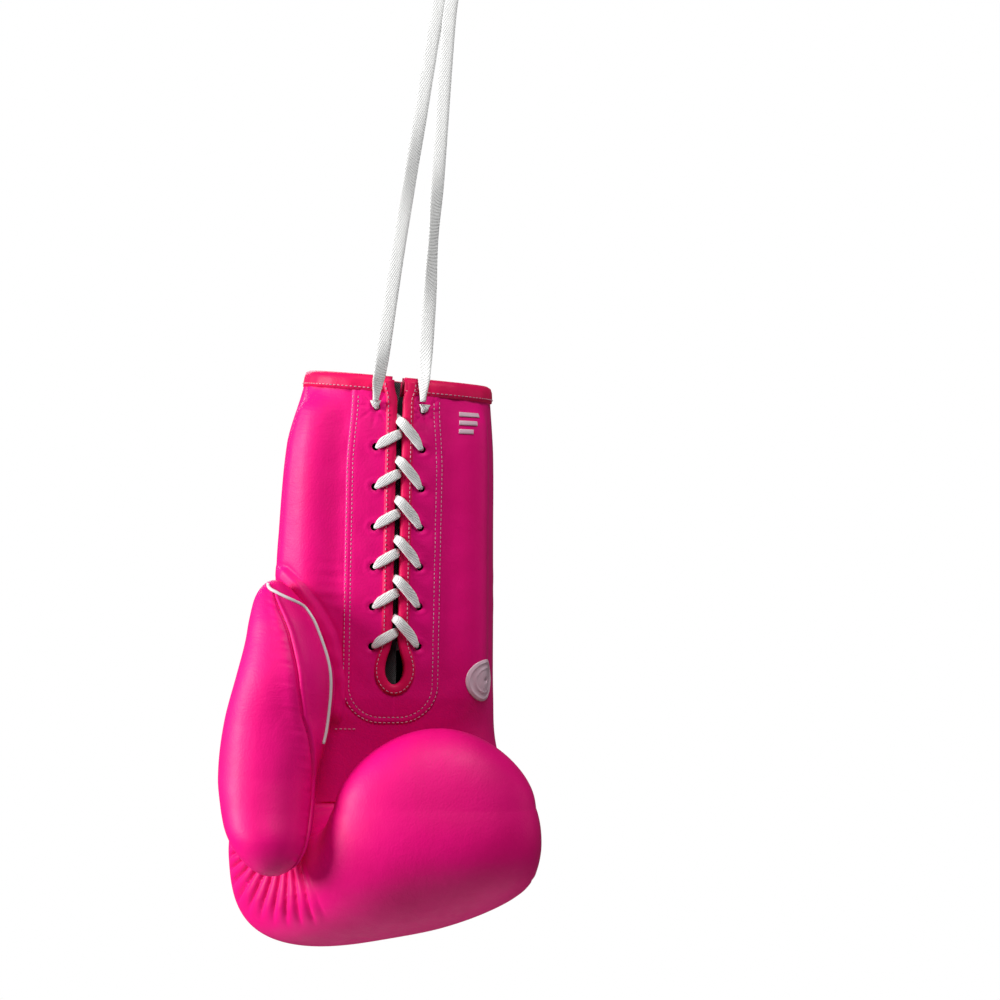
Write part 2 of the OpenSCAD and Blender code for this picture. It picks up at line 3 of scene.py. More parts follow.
import bmesh
import bpy
import numpy as np
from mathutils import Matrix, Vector


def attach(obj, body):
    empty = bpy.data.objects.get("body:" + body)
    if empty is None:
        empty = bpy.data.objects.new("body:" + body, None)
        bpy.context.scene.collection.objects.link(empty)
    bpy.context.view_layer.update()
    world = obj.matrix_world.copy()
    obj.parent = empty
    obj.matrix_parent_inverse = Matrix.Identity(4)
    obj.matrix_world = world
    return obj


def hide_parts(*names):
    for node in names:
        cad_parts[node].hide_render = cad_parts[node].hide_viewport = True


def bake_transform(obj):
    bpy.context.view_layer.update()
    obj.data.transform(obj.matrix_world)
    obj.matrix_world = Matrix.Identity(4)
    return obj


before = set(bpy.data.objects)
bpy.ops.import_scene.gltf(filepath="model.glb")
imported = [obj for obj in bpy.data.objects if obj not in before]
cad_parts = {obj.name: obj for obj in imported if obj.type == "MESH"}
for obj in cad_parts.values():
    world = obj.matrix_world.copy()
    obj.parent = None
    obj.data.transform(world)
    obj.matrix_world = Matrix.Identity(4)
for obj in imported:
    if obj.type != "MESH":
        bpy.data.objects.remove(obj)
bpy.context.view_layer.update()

# A right-hand boxing glove hung fist down by its lace. The shape is worked out in millimetres from the
# same stations as the CAD, and every mesh is written in metres.
MM = 0.001

# ---- sizes, as in the CAD
HANG_DROP = 252.0
HAND_LEN = 0.745 * 320
CREASE_Y = -30.0
CREASE_Z = -HANG_DROP - HAND_LEN
WRIST_Q = -0.5 * HAND_LEN
SPLIT_Q = 90.0
ROLL_END_Q = 224.0
ROLL_CAP = 40.0
POCKET_END_Q = 206.0
POCKET_CAP = 24.0
MID_X = -38.5
CUFF_HALF = 62.0
FIST_HALF = 89.0
SQUARE = 2.6
LEATHER = 1.6
THUMB_SEAM = 200.0
LITTLE_SEAM = 335.0
BACK_SEAM = 18.0
CUFF_THUMB_SEAM = 150.0
RIM_Q = -HAND_LEN + 1
FIRST_HOLE_Q = -HAND_LEN + 16
HOLE_PITCH = 22.3
HOLE_ROWS = 7
HOLE_OFFSET = 13.0
SLIT_END_Q = FIRST_HOLE_Q + (HOLE_ROWS - 1) * HOLE_PITCH + 22
SLIT_ROUND = 9.2
FACING_END_Q = SLIT_END_Q + 22

# Station, left edge, right edge, palm side, back side
OUTSIDE = np.array([
    (-HAND_LEN, MID_X - CUFF_HALF + 18, MID_X + CUFF_HALF - 2, -10, 70),
    (-0.84 * HAND_LEN, MID_X - CUFF_HALF + 7, MID_X + CUFF_HALF, -13, 73),
    (-0.63 * HAND_LEN, MID_X - CUFF_HALF + 2, MID_X + CUFF_HALF, -12, 72),
    (-0.46 * HAND_LEN, MID_X - CUFF_HALF - 1, MID_X + CUFF_HALF, -10, 73),
    (-0.25 * HAND_LEN, MID_X - CUFF_HALF - 6, MID_X + CUFF_HALF, -5, 78),
    (-0.12 * HAND_LEN, MID_X - FIST_HALF + 14, MID_X + CUFF_HALF + 2, 0.5, 80),
    (0, MID_X - FIST_HALF + 5, MID_X + FIST_HALF - 13, 1.6, 81),
    (45, MID_X - FIST_HALF, MID_X + FIST_HALF - 1, 1.6, 86),
    (90, MID_X - FIST_HALF + 12, MID_X + FIST_HALF - 3, 1.6, 82),
    (135, MID_X - FIST_HALF + 50, MID_X + FIST_HALF, 1.6, 70),
    (180, MID_X - FIST_HALF + 62, MID_X + FIST_HALF - 3, 1.6, 55),
    (ROLL_END_Q, MID_X - FIST_HALF + 74, MID_X + FIST_HALF - 11, 1.6, 52),
])
INSIDE = np.array([
    (-HAND_LEN, MID_X - CUFF_HALF + 24, MID_X + CUFF_HALF - 10, -4, 59),
    (-0.84 * HAND_LEN, MID_X - CUFF_HALF + 12, MID_X + CUFF_HALF - 9, -7, 62),
    (-0.63 * HAND_LEN, MID_X - CUFF_HALF + 10, MID_X + CUFF_HALF - 10, -6, 59),
    (-0.46 * HAND_LEN, MID_X - CUFF_HALF + 10, MID_X + CUFF_HALF - 12, -4, 52),
    (-0.25 * HAND_LEN, MID_X - CUFF_HALF + 8, MID_X + CUFF_HALF - 12, 2, 42),
    (-0.12 * HAND_LEN, MID_X - CUFF_HALF + 6, MID_X + CUFF_HALF - 10, 8, 40),
    (0, MID_X - CUFF_HALF + 3, MID_X + CUFF_HALF - 4, 12, 40),
    (45, MID_X - CUFF_HALF + 3, MID_X + CUFF_HALF + 4, 13, 42),
    (90, MID_X - CUFF_HALF + 12, MID_X + CUFF_HALF + 4, 13, 40),
    (135, MID_X - CUFF_HALF + 28, MID_X + CUFF_HALF + 6, 13, 37),
    (180, MID_X - CUFF_HALF + 44, MID_X + CUFF_HALF + 7, 13, 33),
    (ROLL_END_Q, MID_X - CUFF_HALF + 46, MID_X + CUFF_HALF + 6, 13, 33),
])
# Height, left edge, right edge, front, back
THUMB_TOP = CREASE_Z + 126
THUMB_TIP = CREASE_Z - 36
THUMB_CAP = 28.0
THUMB_SQUARE = 2.2
THUMB = np.array([
    (THUMB_TIP, -119, -77, -94, -52),
    (CREASE_Z - 16, -123, -77, -91, -44),
    (CREASE_Z, -127, -75.5, -85, -35),
    (CREASE_Z + 18, -129, -73.5, -80, -28),
    (CREASE_Z + 46, -125.5, -67, -77, -28),
    (CREASE_Z + 75, -119, -65.5, -76, -33),
    (CREASE_Z + 104, -112.5, -75, -67, -32),
    (THUMB_TOP, -113, -84, -57, -31),
])


# ---- surface functions
def spline(table, v):
    """Rows of `table` at stations v, joined by a smooth curve."""
    v = np.asarray(v, float)
    keys = table[:, 0]
    i = np.clip(np.searchsorted(keys, v, side="left") - 1, 0, len(keys) - 2)
    t = np.clip((v - keys[i]) / (keys[i + 1] - keys[i]), 0, 1)[..., None]
    a = table[np.maximum(i - 1, 0), 1:]
    b = table[i, 1:]
    c = table[i + 1, 1:]
    d = table[np.minimum(i + 2, len(keys) - 1), 1:]
    cubic = (3 * b - a - 3 * c + d) * t ** 3
    return 0.5 * (2 * b + (c - a) * t + (2 * a - 5 * b + 4 * c - d) * t * t + cubic)


def power(v, n):
    """A cosine or sine squared off to superellipse power n."""
    return np.sign(v) * np.abs(v) ** (2 / n)


def dome(left, size):
    """Share of the full section that is left near a rounded end."""
    return np.sqrt(np.clip(1 - (np.clip(size - left, 0, None) / size) ** 2, 0.0004, 1))


def slant(p):
    """Tilts the rim and the end of the fist, which are not level."""
    x, y, z = p[..., 0], p[..., 1], p[..., 2]
    rim = -0.09 * (x - MID_X) * np.clip((z - CREASE_Z - 130) / 100, 0, 1)
    fist = 0.17 * (x + 70) * np.clip((CREASE_Z - z) / 80, 0, 1)
    return np.stack([x, y, z + rim + fist], -1)


def place(q, x, r):
    """Point at station q: down the hand, round the finger crease, up the roll."""
    q, x, r = np.broadcast_arrays(q, x, r)
    bend = np.radians(np.clip(q, 0, 180))
    y = CREASE_Y + r * np.cos(bend)
    z = CREASE_Z - r * np.sin(bend) - np.minimum(q, 0) + np.maximum(q - 180, 0)
    return slant(np.stack([x, y, z], -1))


def section(table, q, u, depth, end, cap):
    """Point at station q and section angle u, `depth` under the surface."""
    q, u, depth = np.broadcast_arrays(np.asarray(q, float), np.asarray(u, float), np.asarray(depth, float))
    left, right, low, high = np.moveaxis(spline(table, q), -1, 0)
    k = dome(end - depth - q, cap - depth)
    a = (right - left) / 2 - depth
    b = (high - low) / 2 - depth
    turn = np.radians(u)
    x = (left + right) / 2 + k * a * power(np.cos(turn), SQUARE)
    r = (low + high) / 2 + k * b * power(np.sin(turn), SQUARE)
    return place(q, x, r)


def skin(q, u, depth=0.0):
    return section(OUTSIDE, q, u, depth, ROLL_END_Q, ROLL_CAP)


def pocket(q, u, grow=0.0):
    return section(INSIDE, q, u, -grow, POCKET_END_Q, POCKET_CAP)


def thumb_skin(z, u, depth=0.0):
    z, u, depth = np.broadcast_arrays(np.asarray(z, float), np.asarray(u, float), np.asarray(depth, float))
    left, right, front, back = np.moveaxis(spline(THUMB, z), -1, 0)
    k = dome(z - THUMB_TIP - depth, THUMB_CAP - depth) * dome(THUMB_TOP - depth - z, THUMB_CAP - depth)
    turn = np.radians(u)
    x = (left + right) / 2 + k * ((right - left) / 2 - depth) * power(np.cos(turn), THUMB_SQUARE)
    y = (front + back) / 2 + k * ((back - front) / 2 - depth) * power(np.sin(turn), THUMB_SQUARE)
    return np.stack([x, y, z], -1)


def palm_angle(q, x):
    """Angle of the palm-side point at x."""
    left, right = np.moveaxis(spline(OUTSIDE, q), -1, 0)[:2]
    side = np.clip((x - (left + right) / 2) / ((right - left) / 2), -1, 1)
    return 360 - np.degrees(np.arccos(np.sign(side) * np.abs(side) ** (SQUARE / 2)))


def slit_x(q):
    """The slit leans a little across the cuff."""
    return -28.5 - 2.9 * (q - FIRST_HOLE_Q) / 134


def on_cuff(q, offset, depth):
    """Point of the cuff's front, `offset` from the slit and `depth` under the leather."""
    q = np.asarray(q, float)
    return skin(q, palm_angle(q, slit_x(q) + offset), depth)


def cuff_out(q, offset):
    """Outward direction on the cuff's front."""
    return unit(on_cuff(q, offset, -6.0) - on_cuff(q, offset, 0.0))


# ---- shapes of folds and seams
def bump(distance, width):
    """A soft ridge, 1 at distance 0."""
    return np.exp(-(distance / width) ** 2)


def step(v, low, high):
    """A soft rise from 0 at low to 1 at high."""
    t = np.clip((v - low) / (high - low), 0, 1)
    return t * t * (3 - 2 * t)


def half_gap(q):
    """Half the width of the slit: a V at the rim, and a teardrop that widens above its round end."""
    widest = SLIT_END_Q - SLIT_ROUND
    up = 2.1 + 2.0 * step(RIM_Q + 11 - q, 0, 10) + 3.8 * step(q, widest - 18, widest)
    fall = np.clip((q - widest) / SLIT_ROUND, 0, 1)
    return up * np.sqrt(np.clip(1 - fall ** 2, 0, 1))


FACING_ROUND = 22.0
FACING_SHIFT = -2.2


def facing_edge(q):
    """Half the width of the facing, with round bottom corners."""
    full = 25.0 + 2.2 * step(q, FIRST_HOLE_Q - 5, FIRST_HOLE_Q + 35)
    corner = np.clip((q - (FACING_END_Q - FACING_ROUND)) / FACING_ROUND, 0, 1)
    return full - FACING_ROUND * (1 - np.sqrt(np.clip(1 - corner ** 2, 0, 1)))


def groove(distance, depth=1.1, width=1.6, swell=0.8):
    """A sewn seam: a narrow valley between two soft swellings."""
    return -depth * bump(distance, width) + swell * bump(np.abs(distance) - 8, 6)


def waves(values, seed, scales):
    """A smooth random curve: a sum of sines with seeded phases."""
    rng = np.random.default_rng(seed)
    total = np.zeros_like(values)
    for scale in scales:
        total = total + np.sin(values / scale + rng.uniform(0, 6.28))
    return total / len(scales)


def angle_gap(u, seam):
    return (u - seam + 180) % 360 - 180


def arc_width(q):
    """About how many millimetres one degree of section angle covers at station q."""
    left, right, low, high = np.moveaxis(spline(OUTSIDE, q), -1, 0)
    return np.pi * (right - left + high - low) / 2 / 360 * 1.1


QUILT_CENTRE_Q = -0.74 * HAND_LEN
QUILT_SLOPE = 0.42


def quilt_lines(q, x):
    """Distances from the four stitch lines of the crossed quilting on the back of the cuff."""
    down = q - QUILT_CENTRE_Q
    across = x - MID_X
    lines = []
    for slope in (QUILT_SLOPE, -QUILT_SLOPE):
        for side in (-2.2, 2.2):
            lines.append((down - slope * across) / math.hypot(1, slope) - side)
    return lines


FAN_CENTRE = (-91.0, CREASE_Z - 6.0)
FAN_FIRST_CREASE = 37.0
FAN_CREASE_STEP = 7.6
# Edge of the palm leather, rolled over beside the thumb, as listed points (x, z)
ROLLED_EDGE = [(-104, -356), (-89.5, -358), (-80.5, -367), (-73, -379), (-65, -394.5),
               (-61, -409), (-59, -420), (-59, -431), (-61, -442), (-64, -452)]


def near_line(x, z, points):
    """Distance to a line through points, and the share of the way along it."""
    best = np.full(x.shape, 1e9)
    where = np.zeros(x.shape)
    for i, (a, b) in enumerate(zip(points[:-1], points[1:])):
        dx, dz = b[0] - a[0], b[1] - a[1]
        t = np.clip(((x - a[0]) * dx + (z - a[1]) * dz) / (dx * dx + dz * dz), 0, 1)
        d = np.hypot(x - a[0] - t * dx, z - a[1] - t * dz)
        where = np.where(d < best, (i + t) / (len(points) - 1), where)
        best = np.minimum(best, d)
    return best, where


def skin_relief(q, u, p):
    """Height of the leather over the plain surface at section angle u, station q, point p."""
    mm = arc_width(q)
    x, y, z = p[..., 0], p[..., 1], p[..., 2]
    in_cuff = step(WRIST_Q - q, -2, 2)
    h = np.zeros_like(q)
    back = step(np.sin(np.radians(u)), 0.0, 0.4)
    wrist = q - WRIST_Q - 2.0 * np.sin(np.radians(2 * u))
    pucker = waves(u * mm, 3, (2.1, 3.2, 1.4))
    h += back * (groove(wrist, 1.4, 1.7, 1.6) + 0.45 * pucker * bump(np.abs(wrist) - 4, 5))
    rumple = waves(z + 7 * np.sin(u / 19.0), 5, (2.6, 4.1, 6.0))
    h += back * 0.8 * rumple * bump(wrist - 16, 13)
    along = waves(q, 11, (2.3, 3.6))
    for seam, reach, swell in ((CUFF_THUMB_SEAM, in_cuff, 0.7), (THUMB_SEAM, step(150 - q, 0, 30), 0.6),
                               (BACK_SEAM, step(130 - q, 0, 40), 0.2)):
        gap = angle_gap(u, seam) * mm
        h += reach * (groove(gap, 1.0, 1.4, swell) + 0.25 * along * bump(np.abs(gap) - 4, 4))
    quilt = in_cuff * step(np.sin(np.radians(u)), 0.2, 0.5)
    for line in quilt_lines(q, x):
        h += quilt * (-0.9 * bump(line, 1.3) + 0.15 * waves(x, 17, (1.7, 2.9)) * bump(np.abs(line) - 3, 3))
    for line in quilt_lines(q, x)[::2]:
        h += quilt * 0.9 * bump(np.abs(line + 2.2) - 14, 9)
    rim = step(12 - (q - RIM_Q), 0, 12)
    h += 0.4 * rim * waves(u * mm, 23, (2.4, 3.9))
    # puckers that the tight lace pulls beside the facing
    front = step(-np.sin(np.radians(u)), 0.3, 0.6) * step(-q, 30, 60)
    off = np.abs(x - slit_x(q))
    outside = np.abs(x - slit_x(q) - FACING_SHIFT) - facing_edge(q)
    clear = step(outside, -0.5, 3)
    row = (q - FIRST_HOLE_Q) / HOLE_PITCH
    pull = np.cos(2 * np.pi * row + 0.7 * waves(off, 31, (9.0, 5.0)))
    h += front * clear * 0.15 * pull * bump(outside, 9) * step(4.5 - row, 0, 4)
    h += front * clear * 0.15 * waves(q + off * 0.35, 37, (3.1, 4.7, 7.3)) * bump(outside - 5, 12)
    # soft creases of the palm between the slit and the finger roll
    h += front * clear * 0.7 * waves(q + 0.25 * x, 41, (4.0, 6.3)) * step(q, -75, -55)
    # the fist: broad soft dents, and folds fanning out below the thumb's tip
    fist = step(q, -40, 10)
    h += fist * 0.8 * waves(x + 0.6 * z, 43, (13.0, 21.0)) * waves(z - 0.4 * y, 47, (15.0, 24.0))
    dx = x - FAN_CENTRE[0]
    dz = z - FAN_CENTRE[1]
    far = np.hypot(dx, dz)
    turn = np.degrees(np.arctan2(-dz, -dx))
    fan = step(-y, 5, 20) * step(far, 20, 30) * step(63 - far, 0, 14)
    fan = fan * step(turn, 24, 36) * step(116 - turn, 0, 12)
    fold = (turn - FAN_FIRST_CREASE) / FAN_CREASE_STEP + 0.16 * waves(far, 53, (7.0, 12.0))
    ridge = np.sqrt(np.clip(1 - (2 * (fold - np.floor(fold)) - 1) ** 2, 0, 1))
    h += fan * (3.8 * ridge - 2.4)
    # the padded cuff swells on both sides of the flat facing
    h += front * step(-q, 40, 75) * step(q - RIM_Q, 6, 22) * 5.0 * step(outside, 2.2, 23)
    # fine level wrinkles on the cuff's side next to the thumb
    h += front * 0.35 * waves(z + 0.1 * x, 29, (1.1, 1.7)) * bump(z + 367, 11) * bump(x + 66, 9)
    # the palm leather's rolled edge beside the thumb
    edge, share = near_line(x, z, ROLLED_EDGE)
    edge_x, edge_z = np.array(ROLLED_EDGE).T
    edge = edge * np.sign(np.interp(-z, -edge_z, edge_x) - x)
    ends = step(share, 0, 0.14) * step(1 - share, 0, 0.18)
    rolled = step(-np.sin(np.radians(u)), 0.05, 0.25) * ends
    h += rolled * (2.3 * np.clip(1 - ((edge - 3.6) / 3.9) ** 4, 0, 1) - 0.5 * bump(edge + 1.0, 1.2))
    h += rolled * 0.22 * waves(q, 59, (1.8, 2.9)) * bump(edge - 3.6, 4)
    return h


def relief_of(surface, relief, a, b, extra=0.0):
    """Points of `surface` raised by its relief plus `extra`, with the outward normals."""
    e = 0.4
    p = surface(a, b)
    across = surface(a, b + e) - surface(a, b - e)
    down = surface(a + e, b) - surface(a - e, b)
    n = np.cross(down, across)
    n /= np.maximum(np.linalg.norm(n, axis=-1, keepdims=True), 1e-9)
    return p + n * (relief(a, b, p) + extra)[..., None], n


def leather_at(q, u, extra=0.0):
    q, u = np.broadcast_arrays(np.asarray(q, float), np.asarray(u, float))
    return relief_of(skin, skin_relief, q, u, extra)


def thumb_relief(z, u, p):
    seam = angle_gap(u, thumb_seam_angle(z)) * 0.5
    side = step(-angle_gap(u, thumb_seam_angle(z)), 2, 12)
    h = -1.9 * bump(seam, 0.75) + 0.9 * bump(seam - 2.6, 2.0) + 0.5 * bump(seam + 4.5, 4.0)
    ripple = waves(z + 0.1 * u, 61, (0.55, 0.8, 1.3))
    h += 0.35 * ripple * bump(np.abs(seam) - 4, 6) * (0.2 + 0.8 * side)
    h += 0.8 * waves(z - 0.3 * u, 67, (11.0, 17.0))
    return h * step(THUMB_TOP - z, 0, 14) * step(z - THUMB_TIP, 0, 10)


def thumb_seam_angle(z):
    """Section angle of the thumb's front seam at height z."""
    table = np.array([
        (THUMB_TIP, 330), (CREASE_Z - 20, 342), (CREASE_Z + 5, 345), (CREASE_Z + 17, 338),
        (CREASE_Z + 39, 312), (CREASE_Z + 52, 297), (CREASE_Z + 68, 288), (CREASE_Z + 98, 280),
        (THUMB_TOP, 262),
    ])
    return np.interp(z, table[:, 0], table[:, 1])


def thumb_at(z, u, extra=0.0):
    z, u = np.broadcast_arrays(np.asarray(z, float), np.asarray(u, float))
    p, n = relief_of(thumb_skin, thumb_relief, z, u, 0.0)
    n = -n
    return thumb_skin(z, u) + n * (thumb_relief(z, u, p) + extra)[..., None], n


# ---- mesh helpers
def new_mesh(name, points, faces, material):
    mesh = bpy.data.meshes.new(name)
    mesh.from_pydata([tuple(p) for p in np.asarray(points) * MM], [], faces)
    mesh.validate()
    bm = bmesh.new()
    bm.from_mesh(mesh)
    loose = [v for v in bm.verts if not v.link_faces]
    bmesh.ops.delete(bm, geom=loose, context="VERTS")
    bmesh.ops.recalc_face_normals(bm, faces=bm.faces)
    bm.to_mesh(mesh)
    bm.free()
    mesh.polygons.foreach_set("use_smooth", [True] * len(mesh.polygons))
    piece = bpy.data.objects.new(name, mesh)
    bpy.context.scene.collection.objects.link(piece)
    mesh.materials.append(material)
    return piece


def shell(name, outer, inner, material, keep=None, around=False):
    """A closed solid between two matching grids; `keep` says which cells are there."""
    rows, cols = outer.shape[:2]
    last = cols if around else cols - 1
    if keep is None:
        keep = np.ones((rows - 1, last), bool)
    count = rows * cols

    def at(layer, i, j):
        return layer * count + i * cols + j % cols

    def kept(i, j):
        if around:
            j %= cols
        return 0 <= i < rows - 1 and 0 <= j < last and keep[i, j]

    faces = []
    for i, j in np.argwhere(keep):
        faces.append((at(0, i, j), at(0, i + 1, j), at(0, i + 1, j + 1), at(0, i, j + 1)))
        faces.append((at(1, i, j), at(1, i, j + 1), at(1, i + 1, j + 1), at(1, i + 1, j)))
        if not kept(i, j - 1):
            faces.append((at(0, i + 1, j), at(0, i, j), at(1, i, j), at(1, i + 1, j)))
        if not kept(i, j + 1):
            faces.append((at(0, i, j + 1), at(0, i + 1, j + 1), at(1, i + 1, j + 1), at(1, i, j + 1)))
        if not kept(i - 1, j):
            faces.append((at(0, i, j), at(0, i, j + 1), at(1, i, j + 1), at(1, i, j)))
        if not kept(i + 1, j):
            faces.append((at(0, i + 1, j + 1), at(0, i + 1, j), at(1, i + 1, j), at(1, i + 1, j + 1)))
    points = np.concatenate([outer.reshape(-1, 3), inner.reshape(-1, 3)])
    return new_mesh(name, points, faces, material)


def sweep(name, rings, material, closed_path=False):
    """Joins rings of points into a tube with capped ends."""
    rings = np.asarray(rings)
    n, m = rings.shape[:2]
    faces = []
    for i in range(n if closed_path else n - 1):
        for k in range(m):
            a = i * m + k
            b = i * m + (k + 1) % m
            c = (i + 1) % n * m + (k + 1) % m
            d = (i + 1) % n * m + k
            faces.append((a, b, c, d))
    if not closed_path:
        faces.append(tuple(range(m)))
        faces.append(tuple(range((n - 1) * m, n * m)))
    return new_mesh(name, rings.reshape(-1, 3), faces, material)


def unit(v):
    return v / np.maximum(np.linalg.norm(v, axis=-1, keepdims=True), 1e-9)


def curve_through(points, per):
    """A smooth curve through given points, `per` steps between each two."""
    table = np.column_stack([np.arange(len(points)), points])
    return spline(table, np.linspace(0, len(points) - 1, per * (len(points) - 1) + 1))


def even(path, gap):
    """The same path with points about `gap` apart."""
    path = np.asarray(path, float)
    run = np.concatenate([[0], np.cumsum(np.linalg.norm(np.diff(path, axis=0), axis=1))])
    count = max(2, int(round(run[-1] / gap)) + 1)
    marks = np.linspace(0, run[-1], count)
    return np.stack([np.interp(marks, run, path[:, k]) for k in range(path.shape[1])], -1)


def ribbon_rings(path, across, width, thick, sides=14):
    """Rings of a flat cord: `across` is the width's direction at each point."""
    path = np.asarray(path)
    ahead = unit(np.gradient(path, axis=0))
    across = unit(across - ahead * (across * ahead).sum(-1, keepdims=True))
    up = np.cross(ahead, across)
    turn = np.linspace(0, 2 * np.pi, sides, endpoint=False)
    w = np.broadcast_to(np.asarray(width, float), (len(path),))[:, None, None]
    t = np.broadcast_to(np.asarray(thick, float), (len(path),))[:, None, None]
    flat = power(np.cos(turn), 2.6)[None, :, None]
    high = power(np.sin(turn), 2.6)[None, :, None]
    return path[:, None] + across[:, None] * w / 2 * flat + up[:, None] * t / 2 * high


def stitches(name, runs, material, body, pitch, length, radius):
    """Separate stitches along runs of (points, normals), each a small bent thread, all one mesh."""
    points = []
    faces = []
    turn = np.linspace(0, 2 * np.pi, 6, endpoint=False)
    for path, normal in runs:
        both = even(np.hstack([path, normal]), 0.7)
        run = np.concatenate([[0], np.cumsum(np.linalg.norm(np.diff(both[:, :3], axis=0), axis=1))])
        for start in np.arange(0.6, run[-1] - length, pitch):
            marks = start + length * np.array([0, 0.12, 0.35, 0.65, 0.88, 1])
            lift = np.array([-0.5, 0.18, 0.3, 0.3, 0.18, -0.5]) * radius * 2
            size = np.array([0.5, 0.95, 1, 1, 0.95, 0.5]) * radius
            at = np.stack([np.interp(marks, run, both[:, k]) for k in range(6)], -1)
            n = unit(at[:, 3:])
            mid = at[:, :3] + n * lift[:, None]
            ahead = unit(np.gradient(at[:, :3], axis=0))
            side = unit(np.cross(ahead, n))
            first = len(points)
            for k in range(6):
                for a in turn:
                    points.append(mid[k] + size[k] * (math.cos(a) * side[k] + math.sin(a) * n[k]))
            for k in range(5):
                for a in range(6):
                    b = (a + 1) % 6
                    ring = first + k * 6
                    faces.append((ring + a, ring + b, ring + 6 + b, ring + 6 + a))
            faces.append(tuple(first + a for a in range(6)))
            faces.append(tuple(first + 30 + a for a in range(6)))
    piece = new_mesh(name, points, faces, material)
    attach(piece, body)


# ---- materials
def material(name):
    mat = bpy.data.materials.new(name)
    mat.use_nodes = True
    return mat, mat.node_tree, mat.node_tree.nodes["Principled BSDF"]


def node(tree, kind, vector=None, **values):
    """A new node with its inputs or settings given, and its Vector input linked to `vector`."""
    made = tree.nodes.new(kind)
    for key, value in values.items():
        if key in made.inputs:
            made.inputs[key].default_value = value
        else:
            setattr(made, key, value)
    if vector:
        tree.links.new(vector, made.inputs["Vector"])
    return made


def object_place(tree):
    return tree.nodes.new("ShaderNodeTexCoord").outputs["Object"]


def remap(tree, value, source, target=(0.0, 1.0)):
    """The value taken from one range to another."""
    made = tree.nodes.new("ShaderNodeMapRange")
    made.inputs["From Min"].default_value, made.inputs["From Max"].default_value = source
    made.inputs["To Min"].default_value, made.inputs["To Max"].default_value = target
    tree.links.new(value, made.inputs["Value"])
    return made.outputs["Result"]


def product(tree, first, second):
    made = node(tree, "ShaderNodeMath", operation="MULTIPLY")
    tree.links.new(first, made.inputs[0])
    tree.links.new(second, made.inputs[1])
    return made.outputs["Value"]


def colour_by(tree, value, dark, colour, shader, low=0.0, high=1.0):
    """Sets the shader's base colour, from dark to colour as the value rises from low to high."""
    tint = tree.nodes.new("ShaderNodeValToRGB")
    first, last = tint.color_ramp.elements
    first.position = low
    first.color = (*dark, 1)
    last.position = high
    last.color = (*colour, 1)
    tree.links.new(value, tint.inputs["Fac"])
    tree.links.new(tint.outputs["Color"], shader.inputs["Base Color"])


def relief(tree, height, strength, distance, under=None):
    """A bump of `distance` metres, on top of the bump `under`."""
    made = node(tree, "ShaderNodeBump", Strength=strength, Distance=distance)
    tree.links.new(height, made.inputs["Height"])
    if under:
        tree.links.new(under, made.inputs["Normal"])
    return made.outputs["Normal"]


# Heights in metres between which the leather goes from tight on the fist to wrinkled above it
FIST_TOP = (-0.46, -0.43)


def leather(name, colour, dark, rough):
    """Semi-gloss leather: fine pebbled grain, soft cloudy colour, gloss that varies."""
    mat, tree, shader = material(name)
    where = object_place(tree)
    cloud = node(tree, "ShaderNodeTexNoise", where, Scale=22.0, Detail=5.0, Roughness=0.55)
    colour_by(tree, cloud.outputs["Fac"], dark, colour, shader, 0.32, 0.66)
    fine = node(tree, "ShaderNodeTexNoise", where, Scale=140.0, Detail=3.0)
    gloss = remap(tree, fine.outputs["Fac"], (0.0, 1.0), (rough - 0.06, rough + 0.10))
    tree.links.new(gloss, shader.inputs["Roughness"])
    crease = node(tree, "ShaderNodeTexNoise", where, Scale=75.0, Detail=6.0, Roughness=0.62, Distortion=0.6)
    low = relief(tree, crease.outputs["Fac"], 0.22, 0.0012)
    # fine level wrinkles in patches, where the leather has been bent
    flat = node(tree, "ShaderNodeMapping", where, Scale=(1, 1, 3.6))
    wrinkle = node(tree, "ShaderNodeTexNoise", flat.outputs["Vector"], Scale=170.0, Detail=4.0, Roughness=0.6)
    patch = node(tree, "ShaderNodeTexNoise", where, Scale=12.0, Detail=1.0)
    worn = remap(tree, patch.outputs["Fac"], (0.46, 0.64))
    apart = node(tree, "ShaderNodeSeparateXYZ", where)
    loose = product(tree, worn, remap(tree, apart.outputs["Z"], FIST_TOP))
    fold = relief(tree, product(tree, wrinkle.outputs["Fac"], loose), 0.4, 0.0007, low)
    pebble = node(tree, "ShaderNodeTexVoronoi", where, Scale=1150.0, Randomness=1.0, feature="SMOOTH_F1")
    high = relief(tree, pebble.outputs["Distance"], 0.5, 0.00016, fold)
    tree.links.new(high, shader.inputs["Normal"])
    shader.inputs["Specular IOR Level"].default_value = 0.18
    shader.inputs["Coat Weight"].default_value = 0.02
    shader.inputs["Coat Roughness"].default_value = 0.25
    return mat


def woven(name, colour, shade, scale, rough=0.85, strength=0.7):
    """Woven or braided cloth: two crossing sets of threads."""
    mat, tree, shader = material(name)
    where = object_place(tree)
    threads = []
    for turn in (0.7, -0.7):
        turned = node(tree, "ShaderNodeMapping", where, Rotation=(0, turn, turn))
        threads.append(node(tree, "ShaderNodeTexWave", turned.outputs["Vector"], Scale=scale, Distortion=0.4,
                            bands_direction="X").outputs["Fac"])
    both = product(tree, *threads)
    colour_by(tree, both, shade, colour, shader)
    tree.links.new(relief(tree, both, strength, 0.0007), shader.inputs["Normal"])
    shader.inputs["Roughness"].default_value = rough
    shader.inputs["Sheen Weight"].default_value = 0.25
    return mat


